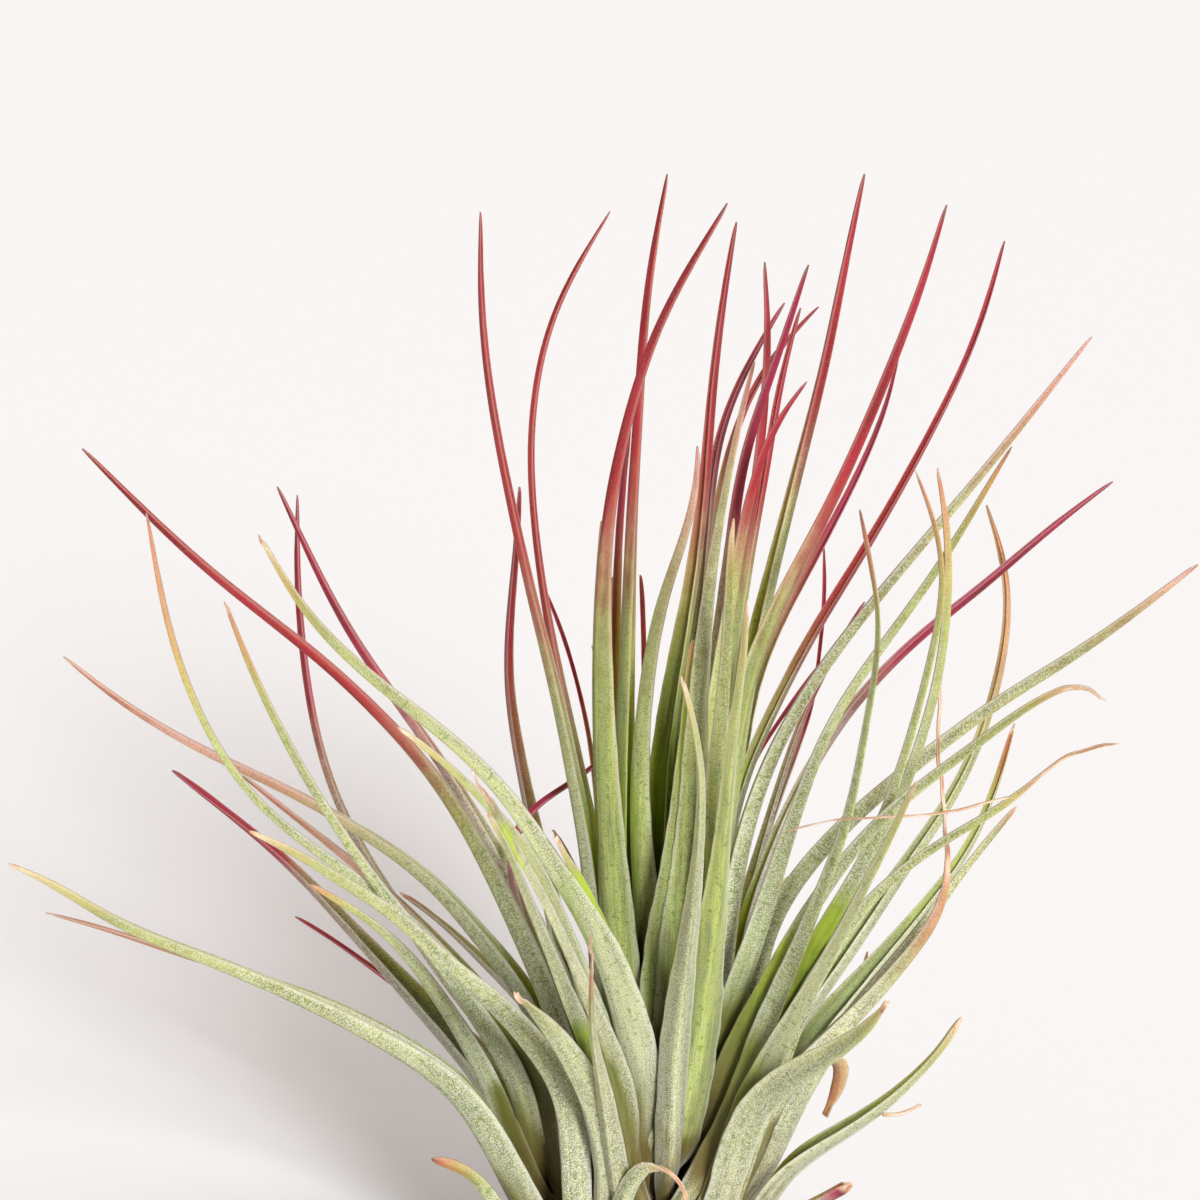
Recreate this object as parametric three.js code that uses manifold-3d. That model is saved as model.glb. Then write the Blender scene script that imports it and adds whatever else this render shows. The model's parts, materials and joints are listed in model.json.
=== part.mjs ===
// Tillandsia andreana, an air plant: a loose rosette of channelled leaves with thread-like tips on a
// short stem. Millimetres, +Z up. The origin is the middle of the flat underside of the stem, on which
// the plant rests.
import * as THREE from "three";
import { mergeVertices } from "three/addons/utils/BufferGeometryUtils.js";
import Module from "manifold-3d";

const wasm = await Module();
wasm.setup();
const { degToRad, lerp, mapLinear, smoothstep } = THREE.MathUtils;

// The stem, from its flat foot to the shoulder that the youngest leaves grow from.
const STEM = { footRadius: 4.8, bellyRadius: 5.3, bellyHeight: 3.6, shoulderRadius: 4.4, height: 13.8 };
// The growing cone above it, which holds the roots of the heart leaves.
const CONE = { foot: 14.1, radius: 4.6, waistHeight: 17, topRadius: 2.4, top: 19.8 };
const TURNED_SIDES = 18;
const CLEARANCE = 0.3;

// A blade's section: its width at the tip, the most its wall measures, how its channel deepens with
// width, and the widths up to which it counts as a thread and as a ribbon when leaves are held apart.
const BLADE = {
  tipWidth: 0.72, wall: 0.7, wallShare: 0.92, deepestChannel: 1.9, channelWidth: 1.3, taper: 1,
  thread: 1.4, ribbon: 3,
};
// The sheath low on a leaf: its width on the oldest, youngest and heart leaves, the most it measures in
// widths of the blade, where it is widest, how far up it reaches, and the width and depth of the claw
// that joins it to the stem.
const SHEATH = {
  oldest: 6.4, youngest: 3, heart: 3, most: 3.4, widestAt: 17, reach: 20, claw: 2.2, oldestClaw: 4.6,
  clawDepth: 0.72,
};
// How the roots are set: each coat of the bulb stands a little further out and lower on the stem, and a
// root may slide some bins round it to where the coats are thin, at a cost for each bin. Heart leaves
// sink into the cone. A root's shift fades out along the leaf, and pushes hardly move it.
const ROOT = {
  clearance: 0.75, outStep: 0.3, downStep: 1.6, lowest: 4.6, bins: 72, slide: 9, slideCost: 0.12,
  innermost: 0.2, heartSink: 1, heartInset: 1, fade: 0.26, held: 2, free: 10, give: 0.12, offStem: 0.42,
};
// Rings along a leaf: one for each stretch of this length, and for each bend of this angle.
const RING = { stretch: 12, bend: degToRad(12), fewest: 8 };
// How far one leaf may twist from root to tip.
const MOST_TWIST = 0.5;

// The photograph as a measuring frame: its middle pixel, its scale at the stem, and where it was taken
// from.
const PHOTO = { middle: [600, 600], rootPixel: [650, 1225], scale: 0.11, distance: 800 };
const TARGET = new THREE.Vector3(-5.5, 0, 83);
const ELEVATION = degToRad(14);
const SIGHT = new THREE.Vector3(0, Math.cos(ELEVATION), -Math.sin(ELEVATION));
const EYE = TARGET.clone().addScaledVector(SIGHT, -PHOTO.distance);
// How a leaf's depth grows from its root to its tip.
const DEPTH_CURVE = 1.35;

const TONES = {
  red: 0xa8453c,
  crimson: 0x8c2340,
  olive: 0x8f9a4a,
  tan: 0xb39a78,
  pale: 0xbcc98a,
  dry: 0xb98a5a,
  stem: 0x8a6a3c,
};

// Leaves read from the photograph: name, tone, depth of the tip behind the stem (before it if
// negative), width half way up, the pixels x, y of the midrib from the tip down, and the sheath's width
// where the photograph shows it.
const SEEN_LEAVES = [
  ["left_01", "red", -10, 1.35,
    [82, 449, 147, 515, 230, 590, 300, 643, 380, 716, 440, 785, 490, 870, 530, 955, 568, 1045, 602, 1130]],
  ["left_02", "olive", -28, 0.85,
    [146, 513, 157, 580, 180, 670, 220, 755, 270, 817, 340, 868, 395, 910, 450, 965, 510, 1040, 575, 1125]],
  ["left_03", "tan", 14, 1.3,
    [63, 657, 120, 703, 200, 750, 300, 797, 370, 838, 430, 880, 480, 938, 540, 1005, 590, 1080, 622, 1140]],
  ["left_04", "tan", 34, 1,
    [242, 776, 280, 806, 320, 838, 352, 863, 400, 905, 460, 970, 540, 1070, 600, 1150]],
  ["left_05", "crimson", 22, 1.3,
    [172, 771, 210, 800, 250, 832, 300, 875, 345, 925, 400, 985, 450, 1040, 510, 1110, 560, 1165]],
  ["left_06", "olive", -6, 1.5,
    [310, 885, 345, 905, 370, 920, 400, 945, 430, 985, 460, 1030, 490, 1075, 530, 1125, 580, 1180]],
  ["left_07", "pale", -48, 1.8,
    [8, 864, 50, 883, 125, 928, 200, 957, 280, 990, 340, 1018, 400, 1050, 460, 1085, 510, 1130, 560, 1175]],
  ["left_08", "tan", -26, 0.8,
    [45, 913, 100, 928, 160, 948, 200, 962, 250, 975, 330, 1003, 400, 1040, 440, 1065, 500, 1125,
      560, 1185]],
  ["left_09", "crimson", 42, 0.8,
    [295, 917, 340, 945, 380, 976, 428, 1007, 480, 1050, 540, 1115, 600, 1180]],
  ["left_10", "crimson", 36, 1.4,
    [277, 487, 305, 548, 350, 635, 395, 700, 435, 755, 475, 820, 520, 900, 570, 1010, 610, 1100]],
  ["left_11", "crimson", 56, 0.85,
    [297, 495, 296, 570, 304, 670, 320, 755, 342, 815, 385, 890, 450, 985, 530, 1080, 600, 1160]],
  ["left_12", "pale", -50, 2,
    [258, 535, 300, 607, 360, 670, 440, 733, 500, 790, 540, 850, 575, 905, 604, 955, 628, 1010,
      646, 1070, 650, 1140], 6.2],
  ["left_13", "olive", -24, 1.05,
    [224, 602, 240, 645, 262, 695, 300, 768, 335, 825, 380, 890, 430, 950, 490, 1030, 550, 1110]],
  ["left_14", "pale", -58, 2.5,
    [250, 832, 310, 862, 350, 888, 400, 920, 440, 960, 500, 1010, 550, 1070, 590, 1130]],
  ["left_15", "crimson", 46, 1.2, [400, 893, 440, 922, 480, 960, 520, 1000, 570, 1060, 612, 1130]],
  ["left_16", "pale", -46, 1.8,
    [398, 728, 445, 765, 500, 820, 535, 865, 562, 930, 585, 1000, 606, 1060, 628, 1130], 3.6],
  ["left_17", "dry", -64, 1, [472, 772, 488, 800, 510, 842, 540, 895, 572, 965, 605, 1050, 630, 1120]],
  ["left_18", "pale", -58, 1.9, [485, 812, 506, 848, 524, 895, 545, 945, 568, 1005, 596, 1070, 622, 1130],
    3.6],
  ["left_19", "pale", -24, 1.8, [555, 838, 568, 864, 583, 893, 598, 930, 614, 975, 630, 1030, 642, 1090]],
  ["left_20", "dry", -48, 0.8, [591, 934, 592, 980, 592, 1031, 602, 1080, 622, 1140]],
  ["left_21", "pale", -34, 2.6, [515, 994, 536, 1016, 566, 1052, 600, 1102, 628, 1150]],
  ["left_23", "crimson", 12, 0.8,
    [611, 750, 602, 764, 579, 779, 561, 789, 525, 806, 506, 836, 512, 890, 550, 990, 605, 1100]],
  ["centre_01", "red", 6, 1.15,
    [480, 212, 480, 313, 491, 405, 505, 482, 525, 570, 542, 645, 558, 705, 573, 782, 590, 870,
      604, 960, 630, 1110]],
  ["centre_02", "red", 20, 0.9,
    [610, 211, 579, 260, 551, 316, 534, 387, 529, 469, 536, 545, 547, 625, 562, 695, 577, 770,
      594, 860, 634, 1100]],
  ["centre_03", "crimson", 54, 1.5,
    [519, 487, 513, 570, 506, 655, 508, 700, 517, 755, 530, 820, 545, 890, 558, 950, 585, 1030, 622, 1120]],
  ["centre_04", "crimson", 62, 1,
    [544, 588, 566, 644, 584, 713, 594, 769, 598, 820, 604, 900, 615, 1000, 635, 1110]],
  ["centre_05", "pale", -50, 2.3,
    [681, 677, 690, 712, 699, 755, 701, 805, 697, 870, 690, 930, 683, 985, 676, 1037, 668, 1094,
      660, 1152], 3.4],
  ["right_01", "red", 22, 1.15,
    [1005, 241, 980, 331, 945, 408, 905, 483, 862, 558, 825, 615, 793, 675, 760, 740, 738, 800,
      722, 870, 692, 1040]],
  ["right_02", "tan", 6, 1.3,
    [1092, 337, 1051, 388, 1014, 437, 957, 503, 905, 566, 850, 632, 807, 693, 775, 750, 752, 810,
      734, 880, 698, 1050]],
  ["right_03", "olive", -26, 1.45,
    [1012, 447, 962, 532, 919, 598, 873, 660, 835, 718, 806, 787, 785, 850, 760, 930, 736, 1000,
      706, 1080]],
  ["right_04", "crimson", 20, 1.25,
    [1113, 482, 1051, 529, 974, 595, 922, 635, 876, 680, 835, 730, 800, 790, 770, 860, 740, 950,
      708, 1060]],
  ["right_05", "tan", -8, 1.8,
    [1198, 565, 1137, 612, 1080, 653, 1008, 696, 945, 742, 890, 785, 840, 830, 800, 875, 765, 930,
      735, 1000, 705, 1075]],
  ["right_06", "olive", -41, 1.2,
    [915, 469, 937, 523, 945, 587, 934, 650, 914, 730, 896, 787, 872, 850, 838, 910, 805, 970,
      770, 1040, 725, 1110]],
  ["right_07", "olive", -26, 1.1,
    [938, 468, 949, 529, 949, 595, 941, 670, 928, 722, 910, 775, 885, 840, 850, 905, 815, 965,
      775, 1040, 730, 1110]],
  ["right_08", "olive", 28, 1.35,
    [987, 505, 1007, 561, 1009, 630, 995, 698, 974, 759, 940, 820, 905, 868, 868, 925, 840, 965,
      800, 1020, 750, 1090]],
  ["right_09", "olive", -54, 1.15,
    [860, 510, 873, 572, 881, 630, 873, 693, 862, 759, 848, 825, 828, 880, 808, 930, 788, 980,
      760, 1040, 720, 1110]],
  ["right_10", "crimson", 60, 0.8,
    [824, 546, 826, 590, 820, 650, 816, 699, 800, 745, 780, 800, 760, 860, 735, 950, 702, 1060]],
  ["right_11", "crimson", 46, 0.9,
    [820, 664, 800, 692, 768, 738, 745, 778, 728, 830, 715, 900, 700, 990, 682, 1080]],
  ["right_12", "crimson", 36, 0.8,
    [865, 602, 835, 655, 808, 705, 790, 755, 770, 820, 750, 890, 725, 980, 697, 1070]],
  ["right_13", "pale", -42, 1.4,
    [1106, 701, 1099, 687, 1080, 677, 1060, 687, 1008, 721, 951, 765, 915, 790, 872, 830, 835, 875,
      800, 930,
      765, 1000, 725, 1080]],
  ["right_14", "pale", -50, 1.7,
    [917, 782, 903, 815, 885, 850, 862, 895, 840, 940, 815, 985, 785, 1040, 745, 1100]],
  ["right_15", "pale", -36, 1.4,
    [1119, 744, 1094, 744, 1065, 752, 1043, 775, 1015, 800, 960, 832, 905, 868, 870, 900, 835, 950,
      800, 1000,
      760, 1060, 725, 1115]],
  ["right_16", "dry", -18, 1,
    [944, 612, 942, 680, 938, 750, 944, 810, 951, 860, 949, 895, 930, 932, 895, 972, 860, 1012,
      820, 1050, 770, 1100]],
  ["right_17", "olive", 48, 1.2, [1015, 724, 998, 785, 975, 840, 945, 885, 900, 940, 850, 1000, 790, 1070]],
  ["right_18", "tan", -4, 1.9,
    [1017, 807, 968, 865, 928, 922, 899, 957, 865, 994, 830, 1031, 793, 1069, 750, 1120]],
  ["right_19", "pale", -42, 2.8,
    [888, 1003, 880, 1018, 851, 1044, 822, 1061, 793, 1077, 755, 1108, 711, 1163]],
  ["right_20", "pale", -20, 2.2,
    [962, 1018, 951, 1040, 914, 1080, 871, 1117, 816, 1149, 764, 1181, 715, 1212]],
  ["right_21", "dry", 10, 1.2,
    [824, 1114, 838, 1085, 849, 1058, 845, 1043, 818, 1052, 780, 1090, 735, 1140]],
  ["right_24", "crimson", 34, 0.8, [868, 952, 870, 972, 856, 1000, 815, 1045, 760, 1110]],
];

// Low leaves, read in the same way, which grow out of the foot of the stem and stay one with it.
const LOW_LEAVES = [
  ["low_01", "dry", -14, 1.7, [432, 1160, 450, 1161, 470, 1167, 500, 1180, 530, 1197, 565, 1213]],
  ["low_02", "dry", -16, 1.4, [852, 1185, 833, 1198, 800, 1209, 760, 1219, 715, 1228]],
];
// The short low leaf at the front, which comes forward and curls its dried tip down: its midrib from
// the root.
const CURLED_LEAF = {
  name: "low_03",
  width: 3.2,
  points: [[-1, -3.6, 4], [-3.4, -8.4, 11.5], [-3.8, -13.2, 18.8], [-2.2, -17, 23.8], [1, -19.4, 25.2],
    [3.8, -20.4, 23.2], [4.8, -20.8, 19.8], [4.4, -20.6, 16.8]],
};

// The heart leaves, also read from the photograph, in the same form: they grow from the cone as one
// body.
const HEART_LEAVES = [
  ["heart_01", "red", 4, 1.55,
    [667, 174, 649, 272, 641, 354, 636, 440, 630, 527, 627, 620, 623, 731, 622, 830, 626, 951, 640, 1080]],
  ["heart_02", "red", -8, 1.6,
    [727, 203, 686, 270, 653, 334, 633, 395, 617, 456, 607, 509, 601, 580, 600, 654, 602, 740,
      607, 840, 634, 1090]],
  ["heart_03", "red", 2, 1.1, [601, 521, 597, 580, 595, 650, 597, 750, 602, 850, 612, 960, 634, 1090]],
  ["heart_04", "crimson", 13, 1.1,
    [630, 420, 623, 463, 619, 514, 615, 580, 613, 650, 612, 740, 613, 850, 620, 970, 638, 1090]],
  ["heart_05", "crimson", 22, 1.3, [612, 577, 609, 620, 609, 680, 611, 760, 615, 860, 624, 980, 640, 1090]],
  ["heart_06", "olive", -2, 1.9,
    [697, 446, 698, 480, 690, 515, 674, 560, 655, 615, 643, 690, 636, 760, 637, 850, 645, 950, 650, 1080]],
  ["heart_07", "red", 4, 1.8,
    [737, 222, 729, 280, 720, 322, 714, 390, 708, 460, 702, 530, 688, 620, 674, 700, 664, 780,
      660, 870, 654, 1090]],
  ["heart_08", "red", 11, 1.65,
    [785, 303, 749, 365, 721, 430, 712, 490, 706, 560, 697, 630, 684, 730, 674, 820, 668, 920, 660, 1050]],
  ["heart_09", "red", 18, 1.6,
    [819, 307, 775, 354, 746, 405, 728, 460, 718, 520, 712, 590, 702, 660, 690, 760, 680, 860, 664, 1060]],
  ["heart_10", "red", 3, 1.5,
    [765, 262, 769, 316, 768, 367, 764, 420, 757, 480, 748, 540, 738, 610, 726, 690, 714, 780,
      700, 880, 670, 1060]],
  ["heart_11", "crimson", -5, 1.65,
    [809, 265, 782, 348, 762, 405, 747, 450, 738, 500, 732, 560, 722, 640, 710, 740, 698, 840,
      684, 950, 664, 1080]],
  ["heart_12", "red", 9, 1.5,
    [801, 308, 782, 380, 772, 440, 762, 500, 750, 560, 738, 640, 722, 740, 706, 850, 688, 960, 668, 1080]],
  ["heart_13", "red", -11, 1.6,
    [807, 382, 787, 405, 768, 440, 752, 490, 742, 540, 732, 600, 720, 680, 706, 780, 692, 890, 664, 1060]],
  ["heart_14", "red", 15, 1.75,
    [865, 174, 846, 265, 826, 365, 802, 460, 779, 552, 762, 620, 748, 690, 734, 780, 718, 880,
      700, 980, 674, 1080]],
  ["heart_15", "red", -6, 1.95,
    [947, 205, 925, 279, 899, 348, 865, 431, 825, 517, 785, 592, 758, 650, 740, 710, 728, 790,
      716, 890, 678, 1070]],
  ["heart_16", "crimson", 27, 1.35,
    [899, 357, 888, 408, 873, 446, 856, 480, 825, 543, 795, 595, 765, 655, 745, 730, 728, 830,
      705, 950, 676, 1070]],
  ["heart_17", "pale", -30, 1.8,
    [734, 519, 732, 565, 729, 629, 727, 690, 720, 760, 713, 850, 706, 950, 678, 1080]],
  ["heart_18", "pale", -38, 1.3,
    [748, 600, 747, 634, 741, 680, 734, 740, 726, 820, 718, 900, 702, 1000, 680, 1090]],
  ["heart_19", "pale", -24, 1.9,
    [755, 362, 744, 405, 734, 456, 724, 507, 714, 570, 706, 640, 700, 720, 697, 810, 690, 900, 668, 1080]],
  ["heart_20", "olive", -16, 2.2, [694, 640, 690, 710, 684, 790, 676, 880, 667, 960, 658, 1080]],
];

// Leaves that the photograph can't show, behind the heart: azimuth, reach, tip height and width half
// way up.
const BACK_LEAVES = [
  ["back_01", "olive", 96, 62, 62, 1.8],
  ["back_02", "red", 84, 72, 52, 1.7],
  ["back_03", "olive", 88, 64, 44, 1.8],
  ["back_04", "pale", 72, 56, 36, 2.0],
  ["back_05", "crimson", 100, 54, 25, 1.5],
  ["back_06", "olive", 94, 66, 34, 1.8],
  ["back_07", "red", 91, 48, 74, 1.5],
  ["back_08", "olive", 79, 44, 56, 1.5],
  ["back_09", "crimson", 104, 46, 44, 1.4],
];

// How soon a leaf behind the heart leans out.
const BACK_CURVE = 1.15;

// Old leaves that droop from the stem to the ground all round: azimuth, reach and width half way up.
const OLD_LEAVES = [
  ["old_01", -62, 30, 2.4],
  ["old_02", -128, 34, 2.2],
  ["old_03", -8, 33, 2.3],
  ["old_04", 172, 35, 2.2],
  ["old_05", 52, 31, 2.4],
  ["old_06", 112, 34, 2.2],
];
const OLD = { rootRadius: 3.4, rootHeight: 2.3, crown: 4.4, crownAt: 0.42, tipHeight: 0.42, clearOf: 3.4 };

// Bending clear: spacing of the stations along a leaf, how far one push fades along it, and when to
// stop.
const STATION = 1.2;
const BEND = {
  rounds: 160, fade: 11, ease: 0.06, margin: 0.24, settled: 0.02, rootZone: 16, openZone: 38,
  push: 0.55, lowPush: 0.9, lowReach: new THREE.Vector3(0.45, 1, 1),
};

// Repeats the same draws each time.
function seededRandom(seed) {
  let state = seed;
  return () => {
    state = (state * 1664525 + 1013904223) % 4294967296;
    return state / 4294967296;
  };
}

// The point that the photograph shows at a pixel, at a given depth behind the stem.
function pointAtPixel(x, y, depth) {
  const across = (x - PHOTO.middle[0]) * PHOTO.scale;
  const up = (PHOTO.middle[1] - y) * PHOTO.scale;
  const cos = Math.cos(ELEVATION);
  const sin = Math.sin(ELEVATION);
  const rise = (up * PHOTO.distance + up * depth * cos - PHOTO.distance * depth * sin)
    / (PHOTO.distance * cos + up * sin);
  const away = depth * cos - rise * sin;
  return new THREE.Vector3(TARGET.x + across * (1 + away / PHOTO.distance), depth, TARGET.z + rise);
}

// A leaf from its row in the photograph's tables, with its midrib from the root up.
function seenLeaf([name, tone, depth, width, pixels, sheath], heart) {
  const path = [PHOTO.rootPixel];
  for (let i = pixels.length - 2; i >= 0; i -= 2) path.push([pixels[i], pixels[i + 1]]);
  const run = [0];
  for (let i = 1; i < path.length; i++) {
    run.push(run[i - 1] + Math.hypot(path[i][0] - path[i - 1][0], path[i][1] - path[i - 1][1]));
  }
  const share = run.map((length) => length / run.at(-1));
  const midrib = path.map(([x, y], i) => pointAtPixel(x, y, depth * share[i] ** DEPTH_CURVE));
  return { name, tone, width, heart, sheath, midrib, share };
}

// A low leaf from its row: its root sits in the foot of the stem.
function lowLeaf(row) {
  const leaf = seenLeaf(row, false);
  const side = Math.sign(leaf.midrib.at(-1).x);
  leaf.midrib[0].set(side * OLD.rootRadius, 0, STEM.bellyHeight);
  return { ...leaf, old: true };
}

// The curled leaf at the front.
function curledLeaf({ name, width, points }) {
  const midrib = points.map(([x, y, z]) => new THREE.Vector3(x, y, z));
  const share = points.map((_, i) => i / (points.length - 1));
  return { name, tone: "dry", width, old: true, midrib, share };
}

// A leaf behind the heart: it rises and leans away in the vertical plane of its azimuth.
function backLeaf([name, tone, degrees, reach, height, width]) {
  const azimuth = degToRad(degrees);
  const share = [0, 0.15, 0.32, 0.5, 0.68, 0.85, 1];
  const midrib = share.map((s) => {
    const out = reach * s ** BACK_CURVE;
    const up = CONE.foot + (height - CONE.foot) * Math.sin((s * Math.PI) / 2);
    return new THREE.Vector3(out * Math.cos(azimuth), out * Math.sin(azimuth), up);
  });
  return { name, tone, width, heart: false, midrib, share };
}

// An old leaf: it leaves the low stem, arches over and lays its tip on the ground.
function oldLeaf([name, degrees, reach, width]) {
  const azimuth = degToRad(degrees);
  const share = [0, 0.15, 0.3, 0.5, 0.7, 0.86, 1];
  const midrib = share.map((s) => {
    const out = OLD.rootRadius + (reach - OLD.rootRadius) * s;
    const lift = s < OLD.crownAt
      ? OLD.rootHeight + (OLD.crown - OLD.rootHeight) * Math.sin((s / OLD.crownAt) * (Math.PI / 2))
      : OLD.tipHeight + (OLD.crown - OLD.tipHeight)
        * Math.cos(((s - OLD.crownAt) / (1 - OLD.crownAt)) * (Math.PI / 2));
    return new THREE.Vector3(out * Math.cos(azimuth), out * Math.sin(azimuth), lift);
  });
  return { name, tone: "dry", width, old: true, midrib, share };
}

// Width of a blade at a share of its length, and at that distance from the root.
function bladeWidth(leaf, share, distance) {
  const open = BLADE.tipWidth + (leaf.width - BLADE.tipWidth) * (2 * (1 - share)) ** BLADE.taper;
  const past = Math.max(0, distance - SHEATH.widestAt) / SHEATH.reach;
  const full = open + Math.max(0, leaf.sheath - open) * Math.exp(-past * past);
  const grown = smoothstep(distance, 0, SHEATH.widestAt);
  return lerp(leaf.claw, full, grown);
}

// Depth of the channel and thickness of its wall, for a blade's width at a distance from the root.
function bladeSection(width, distance) {
  const open = (BLADE.deepestChannel * width) / (width + BLADE.channelWidth);
  const grown = smoothstep(distance, 0, SHEATH.widestAt);
  const channel = lerp(SHEATH.clawDepth, open, grown);
  return { channel, wall: Math.min(BLADE.wall, BLADE.wallShare * channel) };
}

// Lays the sheaths round the stem like the coats of a bulb, the steepest leaves innermost, and moves
// each midrib's lower stretch to its root.
function seatRoots(leaves) {
  const bins = ROOT.bins;
  const cover = { heart: new Array(bins).fill(ROOT.innermost), outer: new Array(bins).fill(CONE.radius) };
  for (const leaf of leaves) {
    const half = leaf.midrib[leaf.share.findIndex((s) => s >= 0.45)];
    leaf.azimuth = Math.atan2(half.y, half.x);
    leaf.lean = Math.atan2(Math.hypot(half.x, half.y), half.z - STEM.height);
  }
  const growing = leaves.filter((leaf) => !leaf.old);
  growing.sort((a, b) => (a.heart === b.heart ? a.lean - b.lean : a.heart ? -1 : 1));
  const hearts = growing.filter((leaf) => leaf.heart).length;
  growing.forEach((leaf, i) => {
    const age = Math.max(0, i - hearts) / (growing.length - hearts);
    leaf.rank = i;
    const usual = leaf.heart ? SHEATH.heart : lerp(SHEATH.youngest, SHEATH.oldest, age ** 2);
    leaf.sheath ??= Math.min(usual, SHEATH.most * leaf.width);
    leaf.claw = leaf.heart ? SHEATH.claw : lerp(SHEATH.claw, SHEATH.oldestClaw, age ** 4);
    leaf.claw = Math.min(leaf.claw, leaf.sheath);
    const wall = SHEATH.clawDepth + CLEARANCE;
    const coat = leaf.heart ? cover.heart : cover.outer;
    const aimed = Math.round(((leaf.azimuth / (2 * Math.PI) + 1) % 1) * bins);
    const radius = leaf.heart ? Math.max(leaf.claw / 2, coat[aimed % bins]) : CONE.radius + ROOT.clearance;
    const reach = Math.min(bins / 2 - 1, Math.ceil(((0.5 * leaf.claw) / radius / (2 * Math.PI)) * bins));
    const slots = [];
    for (let slide = -ROOT.slide; slide <= ROOT.slide; slide++) {
      const covered = [];
      for (let k = -reach; k <= reach; k++) covered.push((aimed + slide + k + 2 * bins) % bins);
      const most = Math.max(...covered.map((bin) => coat[bin]));
      slots.push({ slide, covered, most, cost: most + ROOT.slideCost * Math.abs(slide) });
    }
    const { slide, covered, most } = slots.reduce((best, slot) => (slot.cost < best.cost ? slot : best));
    for (const bin of covered) coat[bin] = most + wall;
    leaf.swing = (slide * 2 * Math.PI) / bins;
    const coats = (most - CONE.radius) / wall;
    const rootRadius = leaf.heart
      ? Math.min(most + wall / 2, CONE.radius - ROOT.heartInset)
      : CONE.radius + ROOT.clearance + ROOT.outStep * coats;
    const rootHeight = leaf.heart
      ? CONE.foot + ROOT.heartSink
      : Math.max(ROOT.lowest, STEM.height - ROOT.downStep * coats);
    const turn = leaf.azimuth + leaf.swing;
    const root = new THREE.Vector3(rootRadius * Math.cos(turn), rootRadius * Math.sin(turn), rootHeight);
    const shift = root.clone().sub(leaf.midrib[0]);
    leaf.midrib.forEach((point, j) => {
      point.addScaledVector(shift, Math.max(0, 1 - leaf.share[j] / ROOT.fade) ** 2);
    });
  });
  for (const leaf of leaves.filter((each) => each.old)) {
    leaf.rank = leaves.length;
    leaf.swing = 0;
    leaf.sheath = SHEATH.youngest;
    leaf.claw = SHEATH.youngest;
  }
}

// Radius of the stem, or of the growing cone above it, at a height.
function stemRadius(height) {
  if (height < STEM.bellyHeight) {
    return mapLinear(height, 0, STEM.bellyHeight, STEM.footRadius, STEM.bellyRadius);
  }
  if (height < STEM.height) {
    return mapLinear(height, STEM.bellyHeight, STEM.height, STEM.bellyRadius, STEM.shoulderRadius);
  }
  if (height < CONE.waistHeight) return CONE.radius;
  if (height < CONE.top) return mapLinear(height, CONE.waistHeight, CONE.top, CONE.radius, CONE.topRadius);
  return 0;
}

// Samples a midrib at even stations.
function layStations(leaf) {
  const curve = new THREE.CatmullRomCurve3(leaf.midrib, false, "centripetal");
  curve.arcLengthDivisions = 600;
  leaf.length = curve.getLength();
  leaf.stations = curve.getSpacedPoints(Math.max(12, Math.round(leaf.length / STATION)));
}

// Width and outward directions of a blade at one station.
function bladeFrame(leaf, index) {
  const last = leaf.stations.length - 1;
  const before = leaf.stations[Math.max(0, index - 1)];
  const after = leaf.stations[Math.min(last, index + 1)];
  const along = after.clone().sub(before).normalize();
  const swing = leaf.swing * (1 - smoothstep(index * STATION, 0, SHEATH.widestAt));
  const facing = leaf.azimuth + swing;
  const across = new THREE.Vector3(-Math.sin(facing), Math.cos(facing), 0);
  across.addScaledVector(along, -across.dot(along)).normalize();
  across.applyAxisAngle(along, (leaf.twist * index) / last);
  const outward = across.clone().cross(along);
  return { along, across, outward };
}

// Spheres that fill a blade at each station, for finding where leaves touch.
function fillBlade(leaf, owner, spheres) {
  const last = leaf.stations.length - 1;
  leaf.stations.forEach((station, i) => {
    const { across, outward } = bladeFrame(leaf, i);
    const width = bladeWidth(leaf, i / last, (leaf.length * i) / last);
    const { channel, wall } = bladeSection(width, (leaf.length * i) / last);
    const thread = width < BLADE.thread;
    const places = thread ? [0] : width < BLADE.ribbon ? [-0.6, 0, 0.6] : [-0.84, -0.42, 0, 0.42, 0.84];
    for (const place of places) {
      const lift = (channel - wall / 2) * (1 - place * place) - channel / 2;
      const point = station.clone();
      point.addScaledVector(across, (place * width) / 2).addScaledVector(outward, thread ? 0 : lift);
      const radius = thread ? Math.max(width, channel) / 2 : (wall / 2) * (1 - 0.4 * place * place);
      spheres.push({ point, radius: radius + BEND.margin, owner, station: i, outward });
    }
  });
}

// Pairs of spheres of different leaves that come too close.
function closePairs(spheres) {
  const cell = 1.9;
  const side = 200;
  const grid = new Map();
  const keyOf = (x, y, z) => ((x + side / 2) * side + y + side / 2) * side + z + side / 2;
  const pairs = [];
  spheres.forEach((sphere, i) => {
    const [x, y, z] = sphere.point.toArray().map((value) => Math.floor(value / cell));
    for (let dx = -1; dx <= 1; dx++) {
      for (let dy = -1; dy <= 1; dy++) {
        for (let dz = -1; dz <= 1; dz++) {
          for (const j of grid.get(keyOf(x + dx, y + dy, z + dz)) ?? []) {
            const other = spheres[j];
            if (other.owner === sphere.owner) continue;
            const reach = sphere.radius + other.radius;
            const gap = sphere.point.distanceTo(other.point);
            if (gap < reach) pairs.push([sphere, other, reach - gap]);
          }
        }
      }
    }
    const key = keyOf(x, y, z);
    if (!grid.has(key)) grid.set(key, []);
    grid.get(key).push(i);
  });
  return pairs;
}

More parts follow.
